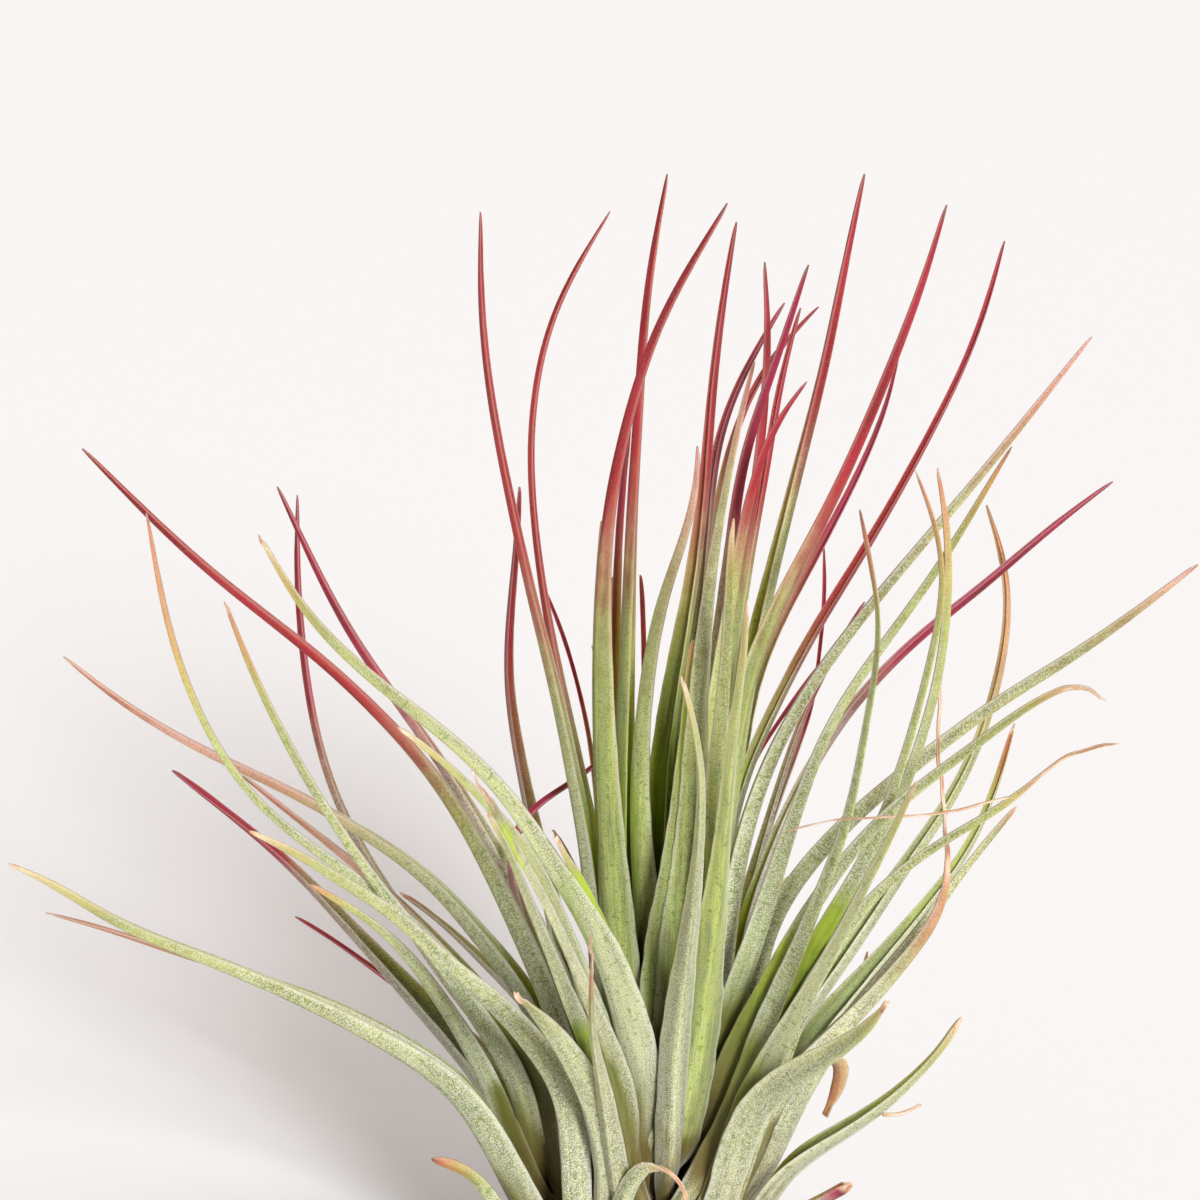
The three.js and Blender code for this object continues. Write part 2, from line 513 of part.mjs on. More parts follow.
// For each two leaves that come too close, which one lies behind the other along the line of sight.
function sightOrder(pairs, leaves) {
  const order = new Map();
  for (const [one, two, excess] of pairs) {
    const key = Math.min(one.owner, two.owner) * leaves.length + Math.max(one.owner, two.owner);
    const apart = one.point.clone().sub(two.point).dot(SIGHT) * (one.owner < two.owner ? 1 : -1);
    order.set(key, (order.get(key) ?? 0) + apart * excess);
  }
  return (one, two) => {
    const key = Math.min(one.owner, two.owner) * leaves.length + Math.max(one.owner, two.owner);
    return order.get(key) > 0 === one.owner < two.owner;
  };
}

// Bends leaves clear of each other. Near the roots the older leaf gives way outwards, and less to the
// left and right. Further up both give way along the line of sight, so the picture of the plant stays
// as it is.
function bendClear(leaves) {
  for (let round = 0; round < BEND.rounds; round++) {
    const spheres = [];
    leaves.forEach((leaf, owner) => fillBlade(leaf, owner, spheres));
    const pushes = leaves.map((leaf) => leaf.stations.map(() => new THREE.Vector3()));
    const give = (sphere, direction, amount) => {
      const push = pushes[sphere.owner][sphere.station];
      if (amount > push.length()) push.copy(direction).multiplyScalar(amount);
    };
    const pairs = closePairs(spheres);
    const isBehind = sightOrder(pairs, leaves);
    let worst = 0;
    for (const [one, two, excess] of pairs) {
      const [leafOne, leafTwo] = [leaves[one.owner], leaves[two.owner]];
      const low = Math.min(one.station, two.station) * STATION;
      if (leafOne.heart && leafTwo.heart && Math.min(one.point.z, two.point.z) < CONE.top) continue;
      if (leafOne.old && leafTwo.old && low < ROOT.free) continue;
      worst = Math.max(worst, excess);
      const open = smoothstep(low, BEND.rootZone, BEND.openZone);
      const older = leafOne.rank > leafTwo.rank ? one : two;
      const back = one.point.clone().sub(EYE).normalize();
      if (!isBehind(one, two)) back.negate();
      give(one, back, BEND.push * excess * open);
      give(two, back.clone().negate(), BEND.push * excess * open);
      const aside = older.outward.clone().multiply(BEND.lowReach).normalize();
      give(older, aside, BEND.lowPush * excess * (1 - open));
    }
    if (worst < BEND.settled) break;
    leaves.forEach((leaf, owner) => moveStations(leaf, pushes[owner]));
  }
}

// Spreads the pushes along a leaf, moves it, evens it out a little and keeps it off the stem and the
// ground.
function moveStations(leaf, pushes) {
  const last = leaf.stations.length - 1;
  const moved = leaf.stations.map((station, i) => {
    const push = new THREE.Vector3();
    for (let k = Math.max(0, i - BEND.fade); k <= Math.min(last, i + BEND.fade); k++) {
      const fade = Math.cos((Math.PI / 2) * (Math.abs(k - i) / (BEND.fade + 1))) ** 2;
      if (pushes[k].length() * fade > push.length()) push.copy(pushes[k]).multiplyScalar(fade);
    }
    const freed = smoothstep(i * STATION, ROOT.held, ROOT.free);
    const fused = leaf.heart || leaf.old;
    return station.clone().addScaledVector(push, fused ? freed : lerp(ROOT.give, 1, freed));
  });
  for (let i = 1; i < last; i++) {
    const even = moved[i - 1].clone().add(moved[i + 1]).multiplyScalar(0.5);
    moved[i].lerp(even, BEND.ease);
  }
  moved.forEach((point, i) => {
    if (leaf.old || leaf.heart) return;
    point.z = Math.max(point.z, OLD.clearOf);
    const { channel } = bladeSection(bladeWidth(leaf, i / last, i * STATION), i * STATION);
    const keep = stemRadius(point.z) + channel / 2 + ROOT.offStem;
    const radius = Math.hypot(point.x, point.y);
    if (radius < keep) {
      point.x += (keep - radius) * Math.cos(leaf.azimuth + leaf.swing);
      point.y += (keep - radius) * Math.sin(leaf.azimuth + leaf.swing);
    }
  });
  leaf.stations = moved;
}

// Stations that get a ring: close together where the leaf bends, far apart where it runs straight.
function ringStations(leaf) {
  const last = leaf.stations.length - 1;
  const measure = [0];
  for (let i = 1; i <= last; i++) {
    const step = leaf.stations[i].distanceTo(leaf.stations[i - 1]) / RING.stretch;
    const bend = bladeFrame(leaf, i).along.angleTo(bladeFrame(leaf, i - 1).along) / RING.bend;
    measure.push(measure[i - 1] + step + bend);
  }
  const count = Math.max(RING.fewest, Math.round(measure.at(-1)));
  const chosen = [];
  for (let ring = 0; ring < count; ring++) {
    const wanted = (measure.at(-1) * ring) / count;
    const index = measure.findIndex((value) => value >= wanted);
    if (index !== chosen.at(-1) && index < last - 1) chosen.push(index);
  }
  return chosen;
}

// The closed solid of one leaf: rings of six points, edge, outer side, edge and channel, and a point at
// the tip.
function leafGeometry(leaf) {
  const last = leaf.stations.length - 1;
  const rings = ringStations(leaf);
  const positions = [];
  for (const index of rings) {
    const { across, outward } = bladeFrame(leaf, index);
    const width = bladeWidth(leaf, index / last, (leaf.length * index) / last);
    const { channel, wall } = bladeSection(width, (leaf.length * index) / last);
    const section = [[-0.5, 0], [-0.3, 0.7], [0, 1], [0.3, 0.7], [0.5, 0], [0, 1 - wall / channel]];
    for (const [side, depth] of section) {
      const point = leaf.stations[index].clone();
      point.addScaledVector(across, side * width).addScaledVector(outward, (depth - 0.5) * channel);
      positions.push(point.x, point.y, Math.max(0, point.z));
    }
  }
  const tip = leaf.stations[last];
  positions.push(tip.x, tip.y, Math.max(0.2, tip.z));
  const indices = [];
  const turn = 6;
  for (let ring = 0; ring + 1 < rings.length; ring++) {
    for (let k = 0; k < turn; k++) {
      const low = ring * turn + k;
      const lowNext = ring * turn + ((k + 1) % turn);
      indices.push(low, lowNext, low + turn, lowNext, lowNext + turn, low + turn);
    }
  }
  const top = (rings.length - 1) * turn;
  for (let k = 0; k < turn; k++) indices.push(top + k, top + ((k + 1) % turn), rings.length * turn);
  for (const k of [0, 1, 2, 3]) indices.push(k, turn - 1, k + 1);
  const geometry = new THREE.BufferGeometry();
  geometry.setAttribute("position", new THREE.Float32BufferAttribute(positions, 3));
  geometry.setIndex(indices);
  return geometry;
}

// A closed geometry as a solid that can be joined.
function solidOf(geometry) {
  const bare = geometry.clone();
  bare.deleteAttribute("normal");
  bare.deleteAttribute("uv");
  const merged = mergeVertices(bare, 1e-4);
  const vertProperties = new Float32Array(merged.attributes.position.array);
  const triVerts = new Uint32Array(merged.index.array);
  return new wasm.Manifold(new wasm.Mesh({ numProp: 3, vertProperties, triVerts }));
}

// Joins geometries into one body, with any pocket that the join seals filled.
function joinGeometries(geometries) {
  const joined = geometries.map(solidOf).reduce((sum, solid) => sum.add(solid));
  const largest = joined.decompose().reduce((best, body) => (body.volume() > best.volume() ? body : best));
  const mesh = largest.getMesh();
  const geometry = new THREE.BufferGeometry();
  geometry.setAttribute("position", new THREE.Float32BufferAttribute(mesh.vertProperties, 3));
  geometry.setIndex(new THREE.BufferAttribute(mesh.triVerts, 1));
  return geometry;
}

// A turned solid, upright on the stem's axis, from pairs of radius and height.
function turnedGeometry(profile) {
  const geometry = new THREE.LatheGeometry(profile.map(([r, z]) => new THREE.Vector2(r, z)), TURNED_SIDES);
  return geometry.rotateX(Math.PI / 2);
}

function stemGeometry() {
  return turnedGeometry(
    [[0, 0], [STEM.footRadius, 0], [STEM.bellyRadius, STEM.bellyHeight], [STEM.shoulderRadius, STEM.height],
      [0, STEM.height]]);
}

function coneGeometry() {
  return turnedGeometry(
    [[0, CONE.foot], [CONE.radius, CONE.foot], [CONE.radius, CONE.waistHeight], [CONE.topRadius, CONE.top],
      [0, CONE.top]]);
}

function addMesh(group, name, geometry, tone) {
  const material = new THREE.MeshStandardMaterial({ color: TONES[tone], roughness: 0.75, metalness: 0 });
  const mesh = new THREE.Mesh(geometry, material);
  mesh.name = name;
  group.add(mesh);
}

const random = seededRandom(7);
const leaves = [
  ...SEEN_LEAVES.map((row) => seenLeaf(row, false)),
  ...HEART_LEAVES.map((row) => seenLeaf(row, true)),
  ...BACK_LEAVES.map(backLeaf),
  ...LOW_LEAVES.map(lowLeaf),
  curledLeaf(CURLED_LEAF),
  ...OLD_LEAVES.map(oldLeaf),
];
for (const leaf of leaves) leaf.twist = (2 * random() - 1) * MOST_TWIST;
seatRoots(leaves);
leaves.forEach(layStations);
bendClear(leaves);

const plant = new THREE.Group();
const singles = leaves.filter((leaf) => !leaf.heart && !leaf.old);
const heart = leaves.filter((leaf) => leaf.heart);
const old = leaves.filter((leaf) => leaf.old);
addMesh(plant, "stem", joinGeometries([stemGeometry(), ...old.map(leafGeometry)]), "stem");
addMesh(plant, "heart_leaves", joinGeometries([coneGeometry(), ...heart.map(leafGeometry)]), "olive");
for (const leaf of singles) addMesh(plant, "leaf_" + leaf.name, leafGeometry(leaf), leaf.tone);

export default plant;
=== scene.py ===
"""Tillandsia andreana, an air plant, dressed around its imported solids.

Each leaf is read from its own solid: the solid's rings give the midrib, the direction its channel faces,
its width and its depth, and a fine blade is drawn along them. Lengths in the tables are millimetres,
because a leaf is measured that way; meshes, lights and the camera are in metres.
"""

import json
import logging
import math
from collections.abc import Iterable
from dataclasses import dataclass, replace
from enum import Enum
from typing import ClassVar

import bmesh
import bpy
import numpy as np
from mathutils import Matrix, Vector
from mathutils.bvhtree import BVHTree

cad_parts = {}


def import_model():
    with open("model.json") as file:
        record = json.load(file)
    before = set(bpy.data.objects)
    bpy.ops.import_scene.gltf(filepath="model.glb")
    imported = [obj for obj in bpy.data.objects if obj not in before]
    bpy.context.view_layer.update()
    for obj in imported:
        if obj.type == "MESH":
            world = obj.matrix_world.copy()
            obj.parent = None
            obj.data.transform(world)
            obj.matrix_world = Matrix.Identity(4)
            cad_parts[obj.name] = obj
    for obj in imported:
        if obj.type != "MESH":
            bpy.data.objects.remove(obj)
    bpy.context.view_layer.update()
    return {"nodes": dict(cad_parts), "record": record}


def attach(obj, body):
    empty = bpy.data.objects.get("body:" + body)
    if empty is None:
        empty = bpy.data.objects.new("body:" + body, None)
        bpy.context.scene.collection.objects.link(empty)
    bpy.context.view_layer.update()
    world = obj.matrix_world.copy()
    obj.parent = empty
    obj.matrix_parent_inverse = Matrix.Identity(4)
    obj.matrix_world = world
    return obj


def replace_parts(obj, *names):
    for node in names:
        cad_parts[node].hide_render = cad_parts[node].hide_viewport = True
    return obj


log = logging.getLogger("air_plant")

MM = 0.001
BODY = "root"


def smooth(value: np.ndarray | float, low: float, high: float) -> np.ndarray | float:
    """Rises smoothly from 0 at low to 1 at high.

    Args:
        value: Where to read the rise.
        low: Where it starts.
        high: Where it is complete.

    Returns:
        The share risen, from 0 to 1.
    """
    share = np.clip((value - low) / (high - low), 0.0, 1.0)
    return share * share * (3 - 2 * share)


def colour(text: str) -> tuple[float, float, float, float]:
    """Turns a colour as it looks on screen into the linear one that a shader needs.

    Args:
        text: Six hex digits, two each for red, green and blue.

    Returns:
        Linear red, green, blue and an alpha of 1.
    """
    parts = [int(text[i : i + 2], 16) / 255 for i in (0, 2, 4)]
    linear = [c / 12.92 if c <= 0.04045 else ((c + 0.055) / 1.055) ** 2.4 for c in parts]
    return (*linear, 1.0)


class Tone(Enum):
    """What a leaf is coloured like. The value is the record's material slot."""

    RED = "leaf_red"
    CRIMSON = "leaf_crimson"
    OLIVE = "leaf_olive"
    TAN = "leaf_tan"
    PALE = "leaf_pale"
    DRY = "leaf_dry"


class Graph:
    """A small builder for a material's node tree."""

    def __init__(self, name: str) -> None:
        """Starts an empty material.

        Args:
            name: The material's name.
        """
        self.material = bpy.data.materials.new(name)
        self.material.use_nodes = True
        self.tree = self.material.node_tree
        self.tree.nodes.clear()
        self.output = self.tree.nodes.new("ShaderNodeOutputMaterial")

    def feed(self, socket: bpy.types.NodeSocket, value: object) -> None:
        """Gives an input socket a link or a constant.

        Args:
            socket: The input.
            value: An output socket, or the constant.
        """
        if isinstance(value, bpy.types.NodeSocket):
            self.tree.links.new(value, socket)
        elif value is not None:
            socket.default_value = value

    def attribute(self, name: str) -> bpy.types.NodeSocket:
        """Reads a mesh attribute as a vector.

        Args:
            name: The attribute's name.

        Returns:
            Its vector output.
        """
        node = self.tree.nodes.new("ShaderNodeAttribute")
        node.attribute_name = name
        return node.outputs["Vector"]

    def split(self, vector: bpy.types.NodeSocket) -> list[bpy.types.NodeSocket]:
        """Splits a vector.

        Args:
            vector: The vector.

        Returns:
            Its three parts.
        """
        node = self.tree.nodes.new("ShaderNodeSeparateXYZ")
        self.feed(node.inputs[0], vector)
        return list(node.outputs)

    def scaled(self, vector: bpy.types.NodeSocket, scale: tuple[float, float, float]) -> bpy.types.NodeSocket:
        """Scales a vector part by part.

        Args:
            vector: The vector.
            scale: The factor for each part.

        Returns:
            The scaled vector.
        """
        node = self.tree.nodes.new("ShaderNodeVectorMath")
        node.operation = "MULTIPLY"
        self.feed(node.inputs[0], vector)
        node.inputs[1].default_value = scale
        return node.outputs[0]

    def noise(self, vector: bpy.types.NodeSocket, detail: float = 1.0) -> bpy.types.NodeSocket:
        """A noise of unit scale over a vector.

        Args:
            vector: Where the noise is read.
            detail: How many finer layers it has.

        Returns:
            The noise, about 0.5 on average.
        """
        node = self.tree.nodes.new("ShaderNodeTexNoise")
        node.inputs["Scale"].default_value = 1.0
        node.inputs["Detail"].default_value = detail
        self.feed(node.inputs["Vector"], vector)
        return node.outputs["Fac"]

    def math(self, operation: str, a: object, b: object = None, c: object = None) -> bpy.types.NodeSocket:
        """One sum on numbers.

        Args:
            operation: The Math node's operation.
            a: First value.
            b: Second value.
            c: Third value.

        Returns:
            The result.
        """
        node = self.tree.nodes.new("ShaderNodeMath")
        node.operation = operation
        for socket, value in zip(node.inputs, (a, b, c)):
            self.feed(socket, value)
        return node.outputs[0]

    def rise(
        self, value: object, low: float, high: float, to: tuple[float, float] = (0, 1)
    ) -> bpy.types.NodeSocket:
        """A smooth step, from one number to another.

        Args:
            value: What is stepped.
            low: Where the step starts.
            high: Where it ends.
            to: The numbers before and after it.

        Returns:
            The stepped value.
        """
        node = self.tree.nodes.new("ShaderNodeMapRange")
        node.interpolation_type = "SMOOTHSTEP"
        for socket, given in zip(node.inputs, (value, low, high, *to)):
            self.feed(socket, given)
        return node.outputs[0]

    def ramp(self, value: object, stops: Iterable[tuple[float, str]]) -> bpy.types.NodeSocket:
        """A colour ramp.

        Args:
            value: Where the ramp is read.
            stops: Places from 0 to 1 with their colours.

        Returns:
            The colour.
        """
        node = self.tree.nodes.new("ShaderNodeValToRGB")
        marks = node.color_ramp.elements
        stops = list(stops)
        while len(marks) < len(stops):
            marks.new(1.0)
        for mark, (place, text) in zip(marks, stops):
            mark.position = place
            mark.color = colour(text)
        self.feed(node.inputs[0], value)
        return node.outputs[0]

    def mix(self, share: object, a: object, b: object, blend: str = "MIX") -> bpy.types.NodeSocket:
        """Mixes two colours.

        Args:
            share: How much of the second.
            a: First colour.
            b: Second colour.
            blend: The blend type.

        Returns:
            The mixed colour.
        """
        node = self.tree.nodes.new("ShaderNodeMix")
        node.data_type = "RGBA"
        node.blend_type = blend
        for socket, value in zip((node.inputs[0], node.inputs[6], node.inputs[7]), (share, a, b)):
            self.feed(socket, value)
        return node.outputs[2]

    def bump(
        self, height: object, depth: float, strength: float, under: object = None
    ) -> bpy.types.NodeSocket:
        """Relief from a height.

        Args:
            height: The height, from 0 to 1.
            depth: What a height of 1 measures, in metres.
            strength: How strongly it shows.
            under: A normal that it adds to.

        Returns:
            The normal.
        """
        node = self.tree.nodes.new("ShaderNodeBump")
        node.inputs["Strength"].default_value = strength
        node.inputs["Distance"].default_value = depth
        self.feed(node.inputs["Height"], height)
        self.feed(node.inputs["Normal"], under)
        return node.outputs[0]

    def surface(self, **inputs: object) -> bpy.types.Material:
        """Ends the tree in one principled surface.

        Args:
            inputs: Values for its sockets, with spaces written as underscores.

        Returns:
            The finished material.
        """
        shader = self.tree.nodes.new("ShaderNodeBsdfPrincipled")
        for name, value in inputs.items():
            self.feed(shader.inputs[name.replace("_", " ")], value)
        self.tree.links.new(shader.outputs[0], self.output.inputs[0])
        return self.material


@dataclass(frozen=True)
class BladeFinish:
    """The finish of a living blade, from its ochre root, darker partly as painted shade, to its thread-like
    point.

    The colours run along the blade's ripeness: 0 at the root, 0.25 where the silver lower part ends,
    0.5 where the green starts to turn, 0.72 where the tip's own colour is full, and 1 at the point.

    Attributes:
        FRESH_GLOW: The vivid green of young leaves, partly a painted glow of light shining through them.
        SCALE: The silver scales.
        PAINTED_SHADE_GLOW: Painted shade and painted green glow where other leaves stand close, along the
            ripeness.
        STRAW: Colours of dried-out ends.
        GRAINS: Each fine pattern: its scale across, along and between leaves, and its finer layers.
        flush_from: Ripeness at which the channel starts to redden.
        streak: How strongly the midrib reddens with it.
        mottle: How much dark mottling shows.
        scales: How thickly the silver scales lie.
        sheen: How downy it looks.
        gloss: How glossy it is.
    """

    FRESH_GLOW: ClassVar[str] = "9fae28"
    SCALE: ClassVar[str] = "dedccc"
    # Painted shade near the root and painted green glow higher up, where leaves stand close.
    PAINTED_SHADE_GLOW: ClassVar[tuple[tuple[float, str], ...]] = ((0.08, "5c4a1c"), (0.22, "5f681c"), (0.42, "acc82a"))
    STRAW: ClassVar[tuple[tuple[float, str], ...]] = ((0.3, "96624e"), (0.5, "c6987f"), (0.7, "e4c8b2"))
    GRAINS: ClassVar[dict[str, tuple[tuple[float, float, float], float]]] = {
        "vein": ((5.5, 0.22, 1.0), 2.0), "patch": ((1.1, 0.45, 1.0), 3.0), "band": ((1.5, 0.05, 1.4), 1.0),
        "speck": ((16.0, 10.5, 1.0), 1.0), "pit": ((8.0, 5.5, 1.7), 1.0), "freckle": ((2.4, 1.8, 2.3), 0.0),
    }

    tone: Tone
    root: str = "7a6028"
    sheath: str = "8c8e60"
    silver: str = "8a9458"
    green: str = "8c8f48"
    turn: str = "905048"
    tip: str = "94182c"
    end: str = "861836"
    point: str = "5a3f4c"
    channel: str = "56731c"
    flush: str = "84162e"
    # Pinkish colour of the ripe edges, partly painted highlight.
    blotch: str = "5c4c2c"
    margin_and_highlight: str = "b64e56"
    flush_from: float = 0.38
    streak: float = 0.7
    mottle: float = 0.15
    scales: float = 0.65
    sheen: float = 0.06
    gloss: float = 0.2

    def material(self) -> bpy.types.Material:
        """Builds the blade's material: ripening colour, fine veins, silver scales and dry ends.

        Returns:
            The material.
        """
        graph = Graph(self.tone.value)
        place = graph.attribute("blade_place")
        ripe, outer, dry = graph.split(graph.attribute("blade_state"))
        edge, fresh_glow, shade_occlusion = graph.split(graph.attribute("blade_extra"))
        vein, patch, band, speck, pit, freckle = (
            graph.noise(graph.scaled(place, scale), detail) for scale, detail in self.GRAINS.values()
        )
        inner = graph.math("SUBTRACT", 1.0, outer)
        uneven = graph.math("MULTIPLY_ADD", vein, 0.12, -0.06)
        uneven = graph.math("MULTIPLY_ADD", patch, 0.12, graph.math("SUBTRACT", uneven, 0.06))
        ripened = graph.math("ADD", ripe, uneven)
        # The colour along the blade: ochre and darker at the root, partly painted shade; greener in the
        # channel while young, redder once it turns.
        tint = graph.ramp(ripened, [
            (0.03, self.root), (0.13, self.sheath), (0.25, self.silver), (0.5, self.green),
            (0.6, self.turn), (0.72, self.tip), (0.93, self.end), (1.0, self.point),
        ])
        young = graph.rise(ripened, 0.3, 0.6, (1.0, 0.0))
        deep = graph.math("MULTIPLY", graph.math("MULTIPLY", inner, young), 0.6)
        tint = graph.mix(deep, tint, colour(self.channel))
        turned = graph.rise(ripened, self.flush_from, 0.66, (0.0, 0.65))
        streak = graph.math("MULTIPLY", graph.rise(edge, 0.1, 0.55, (1.0, 0.0)), self.streak)
        turned = graph.math("MULTIPLY", graph.math("MAXIMUM", inner, streak), turned)
        tint = graph.mix(turned, tint, colour(self.flush))
        # Vivid green low on young leaves: partly their own colour, partly painted glow of light shining
        # through them.
        vivid = graph.math("MULTIPLY", fresh_glow, graph.rise(patch, 0.3, 0.7, (0.45, 0.85)))
        tint = graph.mix(vivid, tint, colour(self.FRESH_GLOW))
        # Mottling, grooves between the veins, pale veins, lengthwise bands and the pale edges, partly painted
        # highlight.
        spots = graph.math("MULTIPLY", graph.rise(patch, 0.46, 0.66), self.mottle)
        spots = graph.math("MULTIPLY", spots, graph.rise(ripened, 0.5, 0.7, (1.0, 0.4)))
        tint = graph.mix(spots, tint, colour(self.blotch))
        groove = graph.math("MULTIPLY", graph.rise(vein, 0.36, 0.52, (0.36, 0.0)), young)
        tint = graph.mix(groove, tint, colour(self.channel))
        light = graph.rise(ripened, 0.4, 0.66, (0.55, 0.1))
        light = graph.math("MULTIPLY", graph.rise(vein, 0.3, 0.75), light)
        tint = graph.mix(light, tint, colour("e2e0c0"), "SOFT_LIGHT")
        tint = graph.mix(graph.rise(band, 0.38, 0.6, (0.6, 0.0)), tint, colour("2c301a"), "SOFT_LIGHT")
        # Paler, pinkish edges: partly the leaf's own paler edge, partly painted highlight where light catches
        # and shines through them.
        margin_and_highlight = graph.ramp(ripened, [(0.2, "d8d6b8"), (0.5, "c8b68c"), (0.66, self.margin_and_highlight)])
        tint = graph.mix(graph.rise(edge, 0.78, 1.0, (0.0, 0.5)), tint, margin_and_highlight)
        # Silver scales, fewer on tips and young leaves, with pits between them; fewer near the root, partly
        # as painted shade, and where other leaves stand close, as painted shade.
        fewer = graph.rise(ripened, 0.3, 0.68, (self.scales, self.scales * 0.02))
        fewer = graph.math("MULTIPLY", fewer, graph.math("MULTIPLY_ADD", fresh_glow, -0.6, 1.0))
        fewer = graph.math("MULTIPLY", fewer, graph.rise(ripened, 0.02, 0.12, (0.15, 1.0)))
        painted_shade_glow = graph.rise(shade_occlusion, 0.34, 0.85, (0.0, 1.0))
        fewer = graph.math("MULTIPLY", fewer, graph.math("MULTIPLY_ADD", painted_shade_glow, -0.75, 1.0))
        cover = graph.math("MULTIPLY", graph.rise(speck, 0.42, 0.61), fewer)
        cover = graph.math("MULTIPLY", cover, graph.rise(outer, 0.0, 1.0, (0.45, 1.0)))
        tint = graph.mix(cover, tint, colour(self.SCALE))
        pits = graph.rise(pit, 0.54, 0.68, (0.0, 0.28 + 0.5 * self.mottle))
        tint = graph.mix(pits, tint, colour(self.blotch))
        unripe = graph.rise(ripened, 0.42, 0.56, (0.5, 0.0))
        freckle = graph.math("MULTIPLY", graph.rise(freckle, 0.68, 0.76), unripe)
        tint = graph.mix(freckle, tint, colour(self.channel))
        # Painted shade and painted green glow where other leaves stand close: dark ochre low down, vivid
        # green higher up.
        painted_shade_glow = graph.math("MULTIPLY", painted_shade_glow, graph.rise(ripened, 0.42, 0.6, (0.88, 0.1)))
        tint = graph.mix(painted_shade_glow, tint, graph.ramp(ripened, self.PAINTED_SHADE_GLOW))
        grain = graph.math("ADD", vein, graph.math("MULTIPLY_ADD", patch, 0.5, -0.25))
        tint = graph.mix(dry, tint, graph.ramp(grain, self.STRAW))
        relief = graph.bump(vein, 0.00012, 0.4)
        relief = graph.bump(speck, 0.00005, 0.5, relief)
        return graph.surface(
            Base_Color=tint,
            Roughness=graph.rise(cover, 0.0, 0.6, (0.5, 0.78)),
            Normal=relief,
            Specular_IOR_Level=self.gloss,
            Subsurface_Weight=0.5,
            Subsurface_Radius=(1.0, 0.95, 0.35),
            Subsurface_Scale=0.0015,
            Sheen_Weight=self.sheen,
            Sheen_Roughness=0.45,
            Sheen_Tint=(1.0, 1.0, 0.94, 1.0),
        )


@dataclass(frozen=True)
class BarkFinish:
    """The finish of the short stem: dry brown bark with pale fibres."""

    dark: str = "4a3420"
    light: str = "a08256"

    def material(self) -> bpy.types.Material:
        """Builds the bark's material.

        Returns:
            The material.
        """
        graph = Graph("stem")
        place = graph.attribute("blade_place")
        fibre = graph.noise(graph.scaled(place, (3.0, 0.5, 1.0)), 4.0)
        grain = graph.noise(graph.scaled(place, (2.0, 2.0, 1.0)), 2.0)
        tint = graph.ramp(graph.math("MULTIPLY_ADD", grain, 0.4, graph.math("SUBTRACT", fibre, 0.2)),
                          [(0.3, self.dark), (0.52, "7a5a36"), (0.7, self.light)])
        relief = graph.bump(fibre, 0.0004, 0.6)
        return graph.surface(Base_Color=tint, Roughness=0.85, Normal=relief)


# What a finish without red in its lower half has in common.
UNFLUSHED = {"flush_from": 0.52, "streak": 0.0}

FINISHES = {
    Tone.RED: BladeFinish(Tone.RED),
    Tone.CRIMSON: BladeFinish(
        Tone.CRIMSON, silver="8c8676", green="906e74", turn="a0606c", tip="8e163e", end="7e163a",
        flush="841236", margin_and_highlight="bd5c72", flush_from=0.32, mottle=0.4, blotch="4a3a2c",
    ),
    Tone.OLIVE: BladeFinish(
        Tone.OLIVE, green="8f9648", turn="a89858", tip="b78864", end="b5705c", point="74525a",
        flush="9a5a40", margin_and_highlight="c58f70", mottle=0.2, sheen=0.15, gloss=0.32, **UNFLUSHED,
    ),
    Tone.TAN: BladeFinish(
        Tone.TAN, green="95915e", turn="a6906e", tip="bd9080", end="bb7c78", point="85585e",
        flush="9c594c", margin_and_highlight="d2aa9e", mottle=0.36, sheen=0.15, gloss=0.32, **UNFLUSHED,
    ),
    Tone.PALE: BladeFinish(
        Tone.PALE, sheath="8e9068", silver="8c9258", green="92964e", turn="aaa064", tip="c0ac86",
        end="d2c2a0", point="c4906a", flush="b5a66a", margin_and_highlight="d3bf9c", mottle=0.12, sheen=0.2, **UNFLUSHED,
    ),
    Tone.DRY: BladeFinish(
        Tone.DRY, silver="9fa072", green="a0a070", turn="b89876", tip="c69c80", end="c68c7a", point="8c5c4a",
        flush="b4826a", margin_and_highlight="d2ac92", mottle=0.3, blotch="6b4a2e", **UNFLUSHED,
    ),
}


@dataclass(frozen=True)
class Look:
    """How far a leaf has turned.

    Attributes:
        tone: What it is coloured like.
        run: Length from the tip that has the tip's colour, in millimetres.
        fade: Length over which that turns green, in millimetres.
        dry: Length from the tip that is dried out, in millimetres.
        fresh_glow: How vivid the green of its lower half is, from 0 to 1, partly as painted glow.
        full: How wide its upper half is, as a factor of the usual.
    """

    tone: Tone
    run: float = 14.0
    fade: float = 14.0
    dry: float = 0.0
    fresh_glow: float = 0.0
    full: float = 1.0


# Leaves whose end is broken off.
BLUNT = {"left_19", "left_21", "right_19", "right_21", "left_17"}
